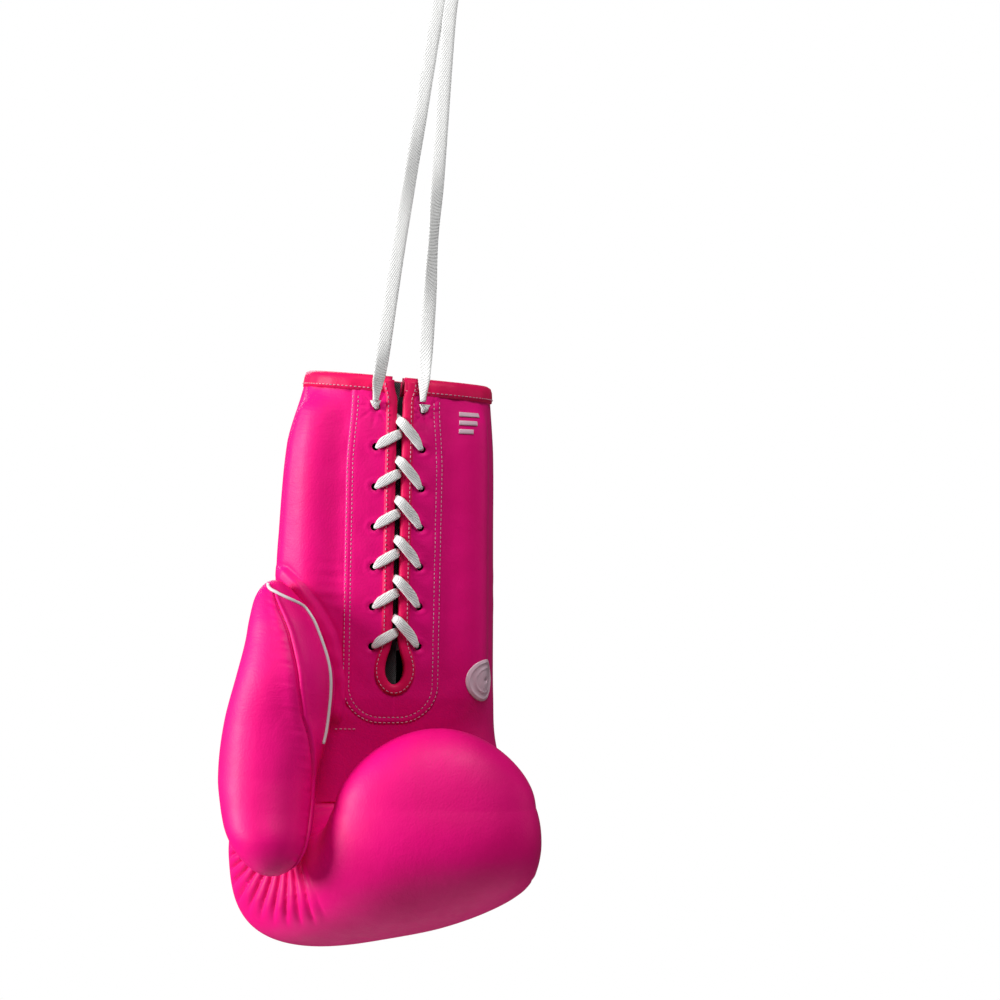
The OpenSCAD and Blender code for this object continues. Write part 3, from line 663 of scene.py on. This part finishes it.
def satin(name, colour, rough, metal=0.0, speck=0.3):
    """Smooth moulded or printed surface with faint unevenness."""
    mat, tree, shader = material(name)
    fine = node(tree, "ShaderNodeTexNoise", object_place(tree), Scale=400.0, Detail=4.0)
    colour_by(tree, fine.outputs["Fac"], [c * 0.82 for c in colour], colour, shader)
    tree.links.new(relief(tree, fine.outputs["Fac"], speck, 0.0002), shader.inputs["Normal"])
    shader.inputs["Roughness"].default_value = rough
    shader.inputs["Metallic"].default_value = metal
    return mat


PINK = leather("pink_leather", (0.82, 0.001, 0.20), (0.74, 0.001, 0.17), rough=0.50)
EDGE = leather("binding_leather", (0.76, 0.003, 0.10), (0.66, 0.002, 0.075), rough=0.48)
WHITE_LACE = woven("white_braid", (0.97, 0.97, 0.96), (0.76, 0.76, 0.75), 420.0)
THREAD = woven("pale_thread", (0.86, 0.50, 0.62), (0.62, 0.28, 0.40), 900.0, 0.6, 0.5)
DARK = woven("dark_lining", (0.02, 0.02, 0.022), (0.004, 0.004, 0.005), 500.0, 0.9)
PIPING = satin("pale_piping", (0.72, 0.70, 0.71), 0.35)
BADGE = satin("pale_badge", (0.80, 0.55, 0.65), 0.3)
SILVER = satin("silver_print", (0.66, 0.66, 0.68), 0.3, metal=0.85)
FLOOR = satin("pale_floor", (0.92, 0.92, 0.92), 0.8, speck=0.05)

# ---- camera and light
VIEW_X = 27.4
VIEW_Z = -319.8
CAMERA_BACK = 1.9
# Width in metres that the camera sees at the glove
VIEW_WIDTH = 0.571
SENSOR_WIDTH = 36
eye = bpy.data.cameras.new("camera")
eye.lens = SENSOR_WIDTH * CAMERA_BACK / VIEW_WIDTH
camera = bpy.data.objects.new("camera", eye)
camera.location = (VIEW_X * MM, -CAMERA_BACK, VIEW_Z * MM)
camera.rotation_euler = (math.radians(90), 0, 0)
bpy.context.scene.collection.objects.link(camera)
bpy.context.scene.camera = camera


def area_light(name, place_at, size, power_w, aim=(-0.04, -0.02, -0.42)):
    lamp = bpy.data.lights.new(name, "AREA")
    lamp.shape = "DISK"
    lamp.size = size
    lamp.energy = power_w
    lit = bpy.data.objects.new(name, lamp)
    lit.location = place_at
    lit.rotation_euler = (Vector(aim) - Vector(place_at)).to_track_quat("-Z", "Y").to_euler()
    bpy.context.scene.collection.objects.link(lit)


area_light("key_left", (-1.92, -0.56, 0.05), 0.9, 64)
area_light("front_soft", (0.25, -1.25, 1.25), 0.9, 27)
area_light("back_soft", (-0.5, 1.7, 0.6), 1.2, 20)
area_light("right_fill", (1.7, -0.2, -0.1), 1.2, 3)
world = bpy.data.worlds.new("studio")
world.use_nodes = True
bpy.context.scene.world = world
sky_nodes = world.node_tree.nodes
sky = sky_nodes["Background"]
sky.inputs["Color"].default_value = (1, 1, 1, 1)
seen = sky_nodes.new("ShaderNodeLightPath")
level = sky_nodes.new("ShaderNodeMapRange")
level.inputs["To Min"].default_value = 0.08
level.inputs["To Max"].default_value = 1.0
world.node_tree.links.new(seen.outputs["Is Camera Ray"], level.inputs["Value"])
world.node_tree.links.new(level.outputs["Result"], sky.inputs["Strength"])
bpy.context.scene.view_settings.view_transform = "Standard"

# ---- the lace
TAIL_LEFT = [(-42, -46, -265), (-40.5, -46.5, -254), (-39, -45.5, -245), (-30, -33, -180),
             (-19, -19, -110), (-9, -6, -45), (-5, -1, -24)]
TAIL_RIGHT = [(-15.5, -46, -265), (-15, -46.5, -254), (-14.5, -45.5, -245), (-10.5, -33, -180),
              (-6, -19, -110), (-1.5, -6, -45), (2, -1, -24)]
LACE_WIDTH = 8.0
LACE_THICK = 1.6


def lace_tail(name, route, twists, cad_node):
    path = even(curve_through(np.array(route, float), 12), 1.5)
    t = np.linspace(0, 1, len(path))
    turn = np.radians(sum(size * bump(t - where, width) for where, width, size in twists))
    across = np.stack([np.cos(turn), np.sin(turn), 0 * turn], -1)
    up = t * np.linalg.norm(np.diff(path, axis=0), axis=1).sum()
    width = LACE_WIDTH * (0.42 + 0.58 * step(up, 0, 14))
    thick = LACE_THICK + 0.8 * step(8 - up, 0, 8)
    piece = sweep(name, ribbon_rings(path, across, width, thick), WHITE_LACE)
    length = float(np.linalg.norm(np.diff(path, axis=0), axis=1).sum())
    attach(piece, "hand")
    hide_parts(cad_node)
    return piece, path, length


tails = [
    lace_tail("lace_tail_left_braid", TAIL_LEFT, [(0.05, 0.06, 35), (0.55, 0.10, 20)], "lace_tail_left"),
    lace_tail("lace_tail_right_braid", TAIL_RIGHT, [(0.05, 0.06, -30), (0.38, 0.12, 48)], "lace_tail_right"),
]
turns = np.radians(np.arange(0, 360, 3))
knot_path = np.stack([3.0 * (np.sin(turns) + 2 * np.sin(2 * turns)), -3.3 * np.sin(3 * turns),
                      -22 + 3.0 * (np.cos(turns) - 2 * np.cos(2 * turns))], -1)
knot_side = unit(knot_path - [0, 0, -22]) + np.array([0, 0.6, 0])
knot = sweep("lace_knot_braid", ribbon_rings(knot_path, knot_side, 3.6, 3.2), WHITE_LACE, True)
loop_path = np.stack([8 * np.sin(turns), 0 * turns, -10 + 12 * np.cos(turns)], -1)
loop = sweep("hang_loop_braid", ribbon_rings(loop_path, np.tile([0.0, 1, 0], (len(turns), 1)), 4.2, 3.0),
             WHITE_LACE, True)
for piece, cad_node in ((knot, "lace_knot"), (loop, "hang_loop")):
    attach(piece, "hand")
    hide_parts(cad_node)

# ---- the lacing
HOLE_ROWS_Q = FIRST_HOLE_Q + HOLE_PITCH * np.arange(HOLE_ROWS)
LACE_OUT = -2.9
LACE_IN = 8.6
# How far up each leg dives into the slit, and how high it rides over the other
LEFT_LEG = (8.0, 0.3)
RIGHT_LEG = (15.5, 1.5)


def strand(name, side, cad_node):
    """Half of the threaded lace, from the middle of the bottom bar up to a top hole."""
    start = HOLE_ROWS_Q[-1]
    keys = [(start, side * 0.1, LACE_IN, 5.5, 1.6)]
    for i in range(HOLE_ROWS - 1, 0, -1):
        q = HOLE_ROWS_Q[i]
        dive, lift = (LEFT_LEG if side < 0 else RIGHT_LEG)
        keys += [
            (q, side * (HOLE_OFFSET - 1.5), LACE_IN, 4.0, 2.2),
            (q - 0.2, side * (HOLE_OFFSET - 0.6), LACE_IN - 2, 2.9, 2.2),
            (q - 0.4, side * (HOLE_OFFSET - 0.9), -0.5, 2.9, 2.0),
            (q - 0.10 * dive, side * (HOLE_OFFSET - 2.0), -2.0, 3.8, 1.7),
            (q - 0.38 * dive, side * HOLE_OFFSET * 0.64, LACE_OUT + 0.1, 5.6, 1.5),
            (q - 0.72 * dive, side * HOLE_OFFSET * 0.30, LACE_OUT - lift, 5.8, 1.5),
            (q - 0.95 * dive, side * 0.8, LACE_OUT - lift + 0.4, 5.4, 1.6),
            (q - 1.04 * dive, -side * 1.0, 0.5, 4.4, 1.8),
            (q - 1.08 * dive, -side * 1.4, LACE_IN - 1, 5.0, 1.8),
        ]
        side = -side
    keys += [
        (HOLE_ROWS_Q[0], side * (HOLE_OFFSET - 1.5), LACE_IN, 4.0, 2.2),
        (HOLE_ROWS_Q[0], side * HOLE_OFFSET, LACE_IN - 2, 2.9, 2.6),
        (HOLE_ROWS_Q[0], side * HOLE_OFFSET, -0.5, 2.9, 2.6),
        (HOLE_ROWS_Q[0] - 1.0, side * HOLE_OFFSET, LACE_OUT + 0.1, 4.2, 2.3),
        (HOLE_ROWS_Q[0] - 3.4, side * HOLE_OFFSET, LACE_OUT, 6.5, 1.7),
    ]
    fine = curve_through(np.array(keys), 7)
    path = on_cuff(fine[:, 0], fine[:, 1], fine[:, 2])
    outward = cuff_out(fine[:, 0], fine[:, 1])
    ahead = unit(np.gradient(path, axis=0))
    across = np.cross(ahead, outward)
    weight = np.linalg.norm(across, axis=-1)
    held = across[0]
    for i in range(len(across)):
        if weight[i] > 0.45:
            turned = across[i] / weight[i]
            held = turned if (turned * held).sum() >= 0 else -turned
        across[i] = held
    for _ in range(4):
        across[1:-1] = (across[:-2] + across[1:-1] * 2 + across[2:]) / 4
    piece = sweep(name, ribbon_rings(path, unit(across), fine[:, 3], fine[:, 4], 12), WHITE_LACE)
    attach(piece, "hand")
    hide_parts(cad_node)
    return piece


strand("lacing_left_braid", -1, "lace_strand_left")
strand("lacing_right_braid", 1, "lace_strand_right")

# ---- leather of the hand and finger roll
GRID = 1.7
# How far short of the roll's very end the leather's last ring is
TIP_GAP = 0.0002


def station_rows(first, last, gap):
    straight = np.arange(first, 0, gap)
    bent = np.arange(0, 180, gap * 0.75)
    rising = 180 + (last - 180) * np.sin(np.linspace(0, np.pi / 2, int(56 / gap)))
    return np.concatenate([straight, bent, rising])


def main_leather():
    qs = station_rows(RIM_Q, ROLL_END_Q - TIP_GAP, GRID)
    coarse = (qs < -148) | ((qs > -42) & (qs < 62)) | (qs > 152)
    qs = np.concatenate([qs[coarse], np.arange(-148, -42, GRID * 0.6), np.arange(62, 152, GRID * 0.42)])
    qs = np.sort(qs)
    us = np.concatenate([np.arange(0, 172, GRID * 0.95), np.arange(172, 262, GRID * 0.5),
                         np.arange(262, 360, GRID * 0.95)])
    q, u = np.meshgrid(qs, us, indexing="ij")
    outer, _ = leather_at(q, u)
    inner = skin(q, u, LEATHER)
    # the domed end keeps its thickness along its own axis too
    inner[..., 2] -= LEATHER * step(q, ROLL_END_Q - ROLL_CAP, ROLL_END_Q)
    x = outer[..., 0]
    off = np.abs(x - slit_x(q))
    front = np.sin(np.radians(u)) < -0.3
    hidden = front & (off < 21.5) & (q < FACING_END_Q - 7)
    keep = ~(hidden[:-1] & np.roll(hidden, -1, 1)[:-1] & hidden[1:] & np.roll(hidden, -1, 1)[1:])
    piece = shell("leather_cover", outer, inner, PINK, keep, True)
    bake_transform(piece)
    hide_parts("palm_panel", "cuff_back_panel", "thumb_side_panel", "little_side_panel",
                "back_panel", "finger_panel", "cuff_foam_left", "cuff_foam_right", "cuff_back_foam",
                "palm_foam", "grip_bar", "thumb_side_foam", "little_side_foam", "knuckle_foam_outer",
                "knuckle_foam_middle", "knuckle_foam_inner", "finger_foam_outer", "finger_foam_inner")


main_leather()


def lining_cloth():
    qs = station_rows(RIM_Q, POCKET_END_Q - 0.02, GRID * 1.6)
    us = np.arange(0, 360, 4.0)
    q, u = np.meshgrid(qs, us, indexing="ij")
    p = pocket(q, u)
    wrinkle = 0.5 * waves(q + 0.2 * u, 83, (5.0, 8.0)) + 0.4 * waves(u + 0.1 * q, 89, (6.0, 9.0))
    wrinkle = wrinkle * step(q - RIM_Q, 12, 34)
    outer = pocket(q, u, 1.2)
    inner = pocket(q, u, wrinkle - 0.5)
    off = np.abs(p[..., 0] - slit_x(q))
    gap = (np.sin(np.radians(u)) < -0.3) & (off < 3.5) & (q < SLIT_END_Q)
    keep = ~gap[:-1]
    piece = shell("lining_cloth", outer, inner, DARK, keep, True)
    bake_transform(piece)
    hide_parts("hand_lining", "placket_lining", "placket_foam", "finger_lining")


lining_cloth()


# ---- lace facing and bindings
FACING_ROWS = (1.0, 4.0)
HOLE_R = 2.1


def facing_relief(q, offset):
    edge = facing_edge(q)
    start = FACING_END_Q - FACING_ROUND
    from_middle = np.abs(offset - FACING_SHIFT)
    round_off = np.maximum(from_middle - (facing_edge(start) - FACING_ROUND), 0)
    in_corner = FACING_ROUND - np.hypot(np.maximum(q - start, 0), round_off)
    rim = np.where(q < start, edge - from_middle, in_corner)
    h = 0.7 * step(rim, -0.3, 1.4)
    for inset in FACING_ROWS:
        h -= 0.25 * bump(rim - inset, 0.6)
    row = (q - FIRST_HOLE_Q) / HOLE_PITCH
    off_row = (row - np.clip(np.round(row), 0, HOLE_ROWS - 1)) * HOLE_PITCH
    near = np.hypot(off_row, np.abs(offset) - HOLE_OFFSET)
    h -= 0.5 * bump(near, 3.0)
    h += 0.3 * bump(near - 3.8, 1.3)
    h += 0.3 * waves(q + 0.35 * np.abs(offset), 97, (3.4, 5.2)) * bump(np.abs(offset) - 17, 5)
    # fine creases that fan out from the top holes
    top_q = q - FIRST_HOLE_Q
    top_out = np.abs(offset) - HOLE_OFFSET
    away = np.hypot(top_q, top_out)
    spoke = np.abs(np.sin(4.5 * np.arctan2(top_q, top_out)))
    h -= 0.4 * bump(spoke, 0.3) * step(away, 2.5, 4) * step(15 - away, 0, 8)
    return h


def facing():
    gap = 0.7
    finer_from = SLIT_END_Q - 12
    qs = np.concatenate([np.arange(RIM_Q, finer_from, gap), np.arange(finer_from, FACING_END_Q, gap * 0.7),
                         [FACING_END_Q - 0.02]])
    share = np.linspace(0, 1, int(21 / gap))
    halves = []
    for side in (-1, 1):
        near = side * half_gap(qs)
        far = FACING_SHIFT + side * facing_edge(qs)
        halves.append(near[:, None] + (far - near)[:, None] * share[None])
    offset = np.concatenate([halves[0][:, ::-1], halves[1]], 1)
    q = np.repeat(qs[:, None], offset.shape[1], 1)
    outer = on_cuff(q, offset, -facing_relief(q, offset))
    inner = on_cuff(q, offset, 1.4)
    middle = len(share) - 1
    keep = np.ones((len(qs) - 1, offset.shape[1] - 1), bool)
    keep[:, middle] = False
    piece = shell("lace_facing_leather", outer, inner, PINK, keep)
    bm = bmesh.new()
    bm.from_mesh(piece.data)
    bmesh.ops.remove_doubles(bm, verts=bm.verts, dist=0.00003)
    bmesh.ops.dissolve_degenerate(bm, edges=bm.edges, dist=0.00001)
    bm.to_mesh(piece.data)
    bm.free()
    rings = []
    faces = []
    turn = np.linspace(0, 2 * np.pi, 20, endpoint=False)
    for q_hole in HOLE_ROWS_Q:
        for side in (-1, 1):
            ring_q = q_hole + HOLE_R * np.sin(turn)
            ring_o = side * HOLE_OFFSET + HOLE_R * np.cos(turn)
            first = len(rings) * 20
            rings.append(on_cuff(ring_q, ring_o, -4.0))
            rings.append(on_cuff(ring_q, ring_o, 4.0))
            for k in range(20):
                n = (k + 1) % 20
                faces.append((first + k, first + n, first + 20 + n, first + 20 + k))
            faces.append(tuple(first + k for k in range(20)))
            faces.append(tuple(first + 20 + k for k in range(20)))
    punch = new_mesh("punch", np.concatenate(rings), faces, DARK)
    cut = piece.modifiers.new("holes", "BOOLEAN")
    cut.object = punch
    cut.solver = "EXACT"
    depsgraph = bpy.context.evaluated_depsgraph_get()
    done = bpy.data.meshes.new_from_object(piece.evaluated_get(depsgraph))
    piece.modifiers.clear()
    piece.data = done
    bpy.data.objects.remove(punch)
    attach(piece, "hand")
    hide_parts("lace_facing", "lace_placket")


facing()


def slit_path(gap, first=RIM_Q):
    """Points (station, offset, away) down one side of the slit, round its end and up the other."""
    widest = SLIT_END_Q - SLIT_ROUND
    qs = np.arange(first, widest, gap)
    side = np.stack([qs, half_gap(qs)], -1)
    turn = np.linspace(0, np.pi, 28)
    end = np.stack([widest + SLIT_ROUND * np.sin(turn), half_gap(widest) * np.cos(turn)], -1)
    line = np.concatenate([side, end, side[::-1] * [1, -1]])
    ahead = unit(np.gradient(line, axis=0))
    away = np.stack([ahead[:, 1] * -1, ahead[:, 0]], -1)
    away *= np.sign((away * (line - [SLIT_END_Q - 12, 0])).sum(-1, keepdims=True))
    away[: len(side)] = [0, 1]
    away[-len(side):] = [0, -1]
    away[len(side): len(side) + len(turn)] = np.stack([np.sin(turn), np.cos(turn)], -1)
    return line, away


def slit_binding():
    line, away = slit_path(1.2, RIM_Q - 1)
    profile = [(5.5, -0.6), (5.3, -1.4), (4.0, -1.8), (2.2, -1.9), (0.6, -1.7), (-0.4, -0.9), (-0.6, 0.3),
               (-0.5, 4.6), (0.4, 4.6), (0.5, 0.6), (0.9, -0.4), (3.0, -0.5)]
    run = np.arange(len(line)) * 1.2
    soft = 0.16 * waves(run, 101, (2.0, 3.1))
    rings = []
    for out, depth in profile:
        at = line + away * out
        rings.append(on_cuff(at[:, 0], at[:, 1], depth - soft * (depth < -1)))
    rings = np.stack(rings, 1)
    piece = sweep("slit_binding_tape", rings, EDGE)
    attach(piece, "hand")
    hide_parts("slit_binding")


slit_binding()


def rim_angles(gap):
    right = palm_angle(np.array([RIM_Q]), slit_x(RIM_Q) + 2.4)[0]
    left = palm_angle(np.array([RIM_Q]), slit_x(RIM_Q) - 2.4)[0]
    return np.arange(right, left + 360, gap)


def rim_binding():
    us = rim_angles(1.2)
    soft = 0.25 * waves(us, 103, (2.2, 3.7))
    profile = [(6.6, -0.1), (6.4, -0.9), (4.0, -1.3), (0.6, -1.3), (-1.8, -0.6), (-2.9, 1.4), (-2.6, 4.0)]
    back = [(-2.6, 1.3), (-1.8, -1.3), (1.5, -1.0), (7.5, -0.4)]
    rings = []
    for down, depth in profile:
        rings.append(skin(RIM_Q + down + 0 * us, us, depth - soft * (down > 0)))
    for down, grow in back:
        rings.append(pocket(RIM_Q + down + 0 * us, us, grow))
    for down, depth in ((6.0, 4.0), (1.0, 3.0), (0.6, 0.6)):
        rings.append(skin(RIM_Q + down + 0 * us, us, depth))
    rings = np.stack(rings, 1)
    piece = sweep("rim_binding_tape", rings, EDGE)
    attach(piece, "hand")
    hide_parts("cuff_binding")


rim_binding()


# ---- thumb
def thumb_cover():
    gap = GRID
    half = np.pi / 2
    ends = np.sin(np.linspace(-half, half, int(330 / gap)))
    zs = THUMB_TOP - 0.02 + (THUMB_TIP - THUMB_TOP + 0.04) * (0.5 + 0.5 * ends)
    us = np.concatenate([np.arange(0, 255, gap * 1.4), np.arange(255, 360, gap * 0.55)])
    z, u = np.meshgrid(zs, us, indexing="ij")
    outer, _ = thumb_at(z, u)
    inner = thumb_skin(np.clip(z, THUMB_TIP + 1.7, THUMB_TOP - 1.7), u, LEATHER)
    piece = shell("thumb_leather", outer, inner, PINK, None, True)
    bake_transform(piece)
    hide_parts("thumb_outer_panel", "thumb_inner_panel", "thumb_foam", "thumb_lining")


thumb_cover()


def thumb_gusset():
    """The leather behind the thumb, which joins its back to the side of the hand."""
    zs = np.linspace(THUMB_TOP - 3, CREASE_Z + 14, 90)
    low = step(zs, THUMB_TOP - 40, THUMB_TOP)
    hand_edge, hand_n = leather_at(CREASE_Z - zs, 196.0 + 8.0 * low, -1.5)
    thumb_edge, thumb_n = thumb_at(zs, 150.0 - 20.0 * low, -1.5)
    share = np.linspace(0, 1, 30)[:, None, None]
    span = np.linalg.norm(thumb_edge - hand_edge, axis=-1)[None, :, None]
    swell = 0.14 - 0.7 * step(CREASE_Z + 48 - zs, 0, 34) - 0.35 * step(zs, THUMB_TOP - 12, THUMB_TOP - 2)
    rise = swell[None, :, None] * span + 0.2 * waves(zs, 73, (0.9, 1.5))[None, :, None]
    puff = rise * np.sin(np.pi * share) * unit(hand_n + thumb_n)[None]
    outer = hand_edge[None] * (1 - share) + thumb_edge[None] * share + puff
    across = np.gradient(outer, axis=0)
    down = np.gradient(outer, axis=1)
    n = unit(np.cross(across, down))
    n *= np.sign((n * unit(hand_n + thumb_n)[None]).sum(-1, keepdims=True))
    piece = shell("thumb_gusset_leather", outer, outer - n * LEATHER, PINK)
    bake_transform(piece)


thumb_gusset()


PIPING_R = 0.95


def thumb_piping():
    zs = np.linspace(THUMB_TOP - 2.5, CREASE_Z + 36, 90)
    path, n = thumb_at(zs, 341 - 110 * step(zs, THUMB_TOP - 16, THUMB_TOP), 0.3)
    turn = np.linspace(0, 2 * np.pi, 12, endpoint=False)
    ahead = unit(np.gradient(path, axis=0))
    side = unit(np.cross(ahead, n))
    around = np.cos(turn)[None, :, None] * side[:, None] + np.sin(turn)[None, :, None] * n[:, None]
    rings = path[:, None] + PIPING_R * around
    piece = sweep("thumb_piping_cord", rings, PIPING)
    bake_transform(piece)
    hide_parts("thumb_piping")


thumb_piping()

# ---- stitching
us = rim_angles(1.0)
qs = RIM_Q + 4.6 + 0 * us
hand_runs = [(skin(qs, us, -1.3), unit(skin(qs, us, -5) - skin(qs, us, 0)))]
line, away = slit_path(1.0)
at = line + away * 4.1
hand_runs.append((on_cuff(at[:, 0], at[:, 1], -1.85), cuff_out(at[:, 0], at[:, 1])))
for inset in FACING_ROWS:
    qs = np.arange(RIM_Q + 9, FACING_END_Q - FACING_ROUND, 1.0)
    turn = np.linspace(0, np.pi / 2, 28)[1:]
    corner = FACING_ROUND - inset
    full = facing_edge(FACING_END_Q - FACING_ROUND)
    left = np.concatenate([np.stack([qs, -(facing_edge(qs) - inset)], -1),
                           np.stack([FACING_END_Q - FACING_ROUND + corner * np.sin(turn),
                                     -(full - FACING_ROUND + corner * np.cos(turn))], -1)])
    line = np.concatenate([left, left[::-1] * [1, -1]]) + [0, FACING_SHIFT]
    h = facing_relief(line[:, 0], line[:, 1])
    hand_runs.append((on_cuff(line[:, 0], line[:, 1], -h), cuff_out(line[:, 0], line[:, 1])))
palm_row = np.full(20, -42.0)
hand_runs.append(leather_at(palm_row, palm_angle(palm_row, np.linspace(-66, -52, 20))))
stitches("facing_and_binding_stitches", hand_runs, THREAD, "hand", pitch=2.5, length=1.6, radius=0.24)


def seam_run(q, u, lift=0.15):
    return leather_at(q, u, lift)


back_runs = []
us = np.arange(20, 200, 1.0)
wander = 2.0 * np.sin(np.radians(2 * us))
back_runs.append(seam_run(WRIST_Q + wander - 2.6, us))
for sign in (-1, 1):
    for side in (-2.2, 2.2):
        xs = np.linspace(MID_X - 56, MID_X + 58, 150)
        down = sign * QUILT_SLOPE * (xs - MID_X) + side * math.hypot(1, QUILT_SLOPE)
        q = QUILT_CENTRE_Q + down
        u = 360 - palm_angle(q, xs)
        ok = (q > RIM_Q + 12) & (q < WRIST_Q - 4) & (u > 24) & (u < CUFF_THUMB_SEAM - 3)
        if ok.sum() > 4:
            back_runs.append(seam_run(q[ok], u[ok]))
qs = np.arange(RIM_Q + 10, WRIST_Q - 2, 1.2)
back_runs.append(seam_run(qs, CUFF_THUMB_SEAM - 2.6 + 0 * qs))
stitches("back_stitches", back_runs, THREAD, "hand", pitch=3.6, length=2.4, radius=0.3)

# ---- badge and print
# Millimetres around the cuff for one degree, where the badge is
BADGE_DEGREE = 0.75


def badge():
    turn = np.radians(np.arange(0, 360, 6))
    sizes = np.array([0.2, 3.0, 6.0, 6.6, 7.0, 7.4, 9.8, 10.2, 10.6, 11.0, 11.6, 12.0])
    heights = np.array([0.60, 0.60, 0.60, 0.60, 0.95, 0.60, 0.60, 0.95, 0.95, 0.60, 0.60, 0.30])
    badge_q = -0.29 * HAND_LEN
    q = badge_q + sizes[:, None] * np.sin(turn)[None]
    u = palm_angle(q, 16.0) + sizes[:, None] * np.cos(turn)[None] / BADGE_DEGREE
    outer, _ = leather_at(q, u, heights[:, None] + 0.1)
    inner, _ = leather_at(q, u, -0.6)
    piece = shell("round_badge_disc", outer, inner, BADGE, None, True)
    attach(piece, "hand")
    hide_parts("round_badge")


badge()


def print_bar(name, q0, q1, u0, u1, mat):
    """A thin printed bar that lies on the leather."""
    down = np.linspace(q0, q1, max(4, int(abs(q1 - q0))))
    share = np.linspace(0, 1, 60)
    q = down[:, None] + 0 * share[None]
    u = u0 + (u1 - u0) * share[None] + 0 * q
    outer, _ = leather_at(q, u, 0.6)
    inner, _ = leather_at(q, u, -0.3)
    piece = shell(name, outer, inner, mat)
    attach(piece, "hand")


for index, (q0, wide) in enumerate(((-58, 38), (-44, 30), (-30, 22))):
    print_bar(f"back_print_{index + 1}", q0, q0 + 7, 90 - wide, 90 + wide, SILVER)
for index in range(3):
    q0 = FIRST_HOLE_Q - 1 + 5 * index
    u_mid = palm_angle(np.array([q0]), 9.0)[0]
    print_bar(f"cuff_print_{index + 1}", q0, q0 + 2.6, u_mid - 8, u_mid + 8 - 3 * index, BADGE)

# ---- floor
FLOOR_RADIUS = 0.8
FLOOR_Z = -1.35
floor_mesh = bpy.data.meshes.new("floor")
bm = bmesh.new()
bmesh.ops.create_circle(bm, cap_ends=True, segments=96, radius=FLOOR_RADIUS)
for v in bm.verts:
    v.co.z = FLOOR_Z
bm.to_mesh(floor_mesh)
bm.free()
floor = bpy.data.objects.new("floor", floor_mesh)
bpy.context.scene.collection.objects.link(floor)
floor_mesh.materials.append(FLOOR)
floor_mesh.polygons.foreach_set("use_smooth", [True] * len(floor_mesh.polygons))
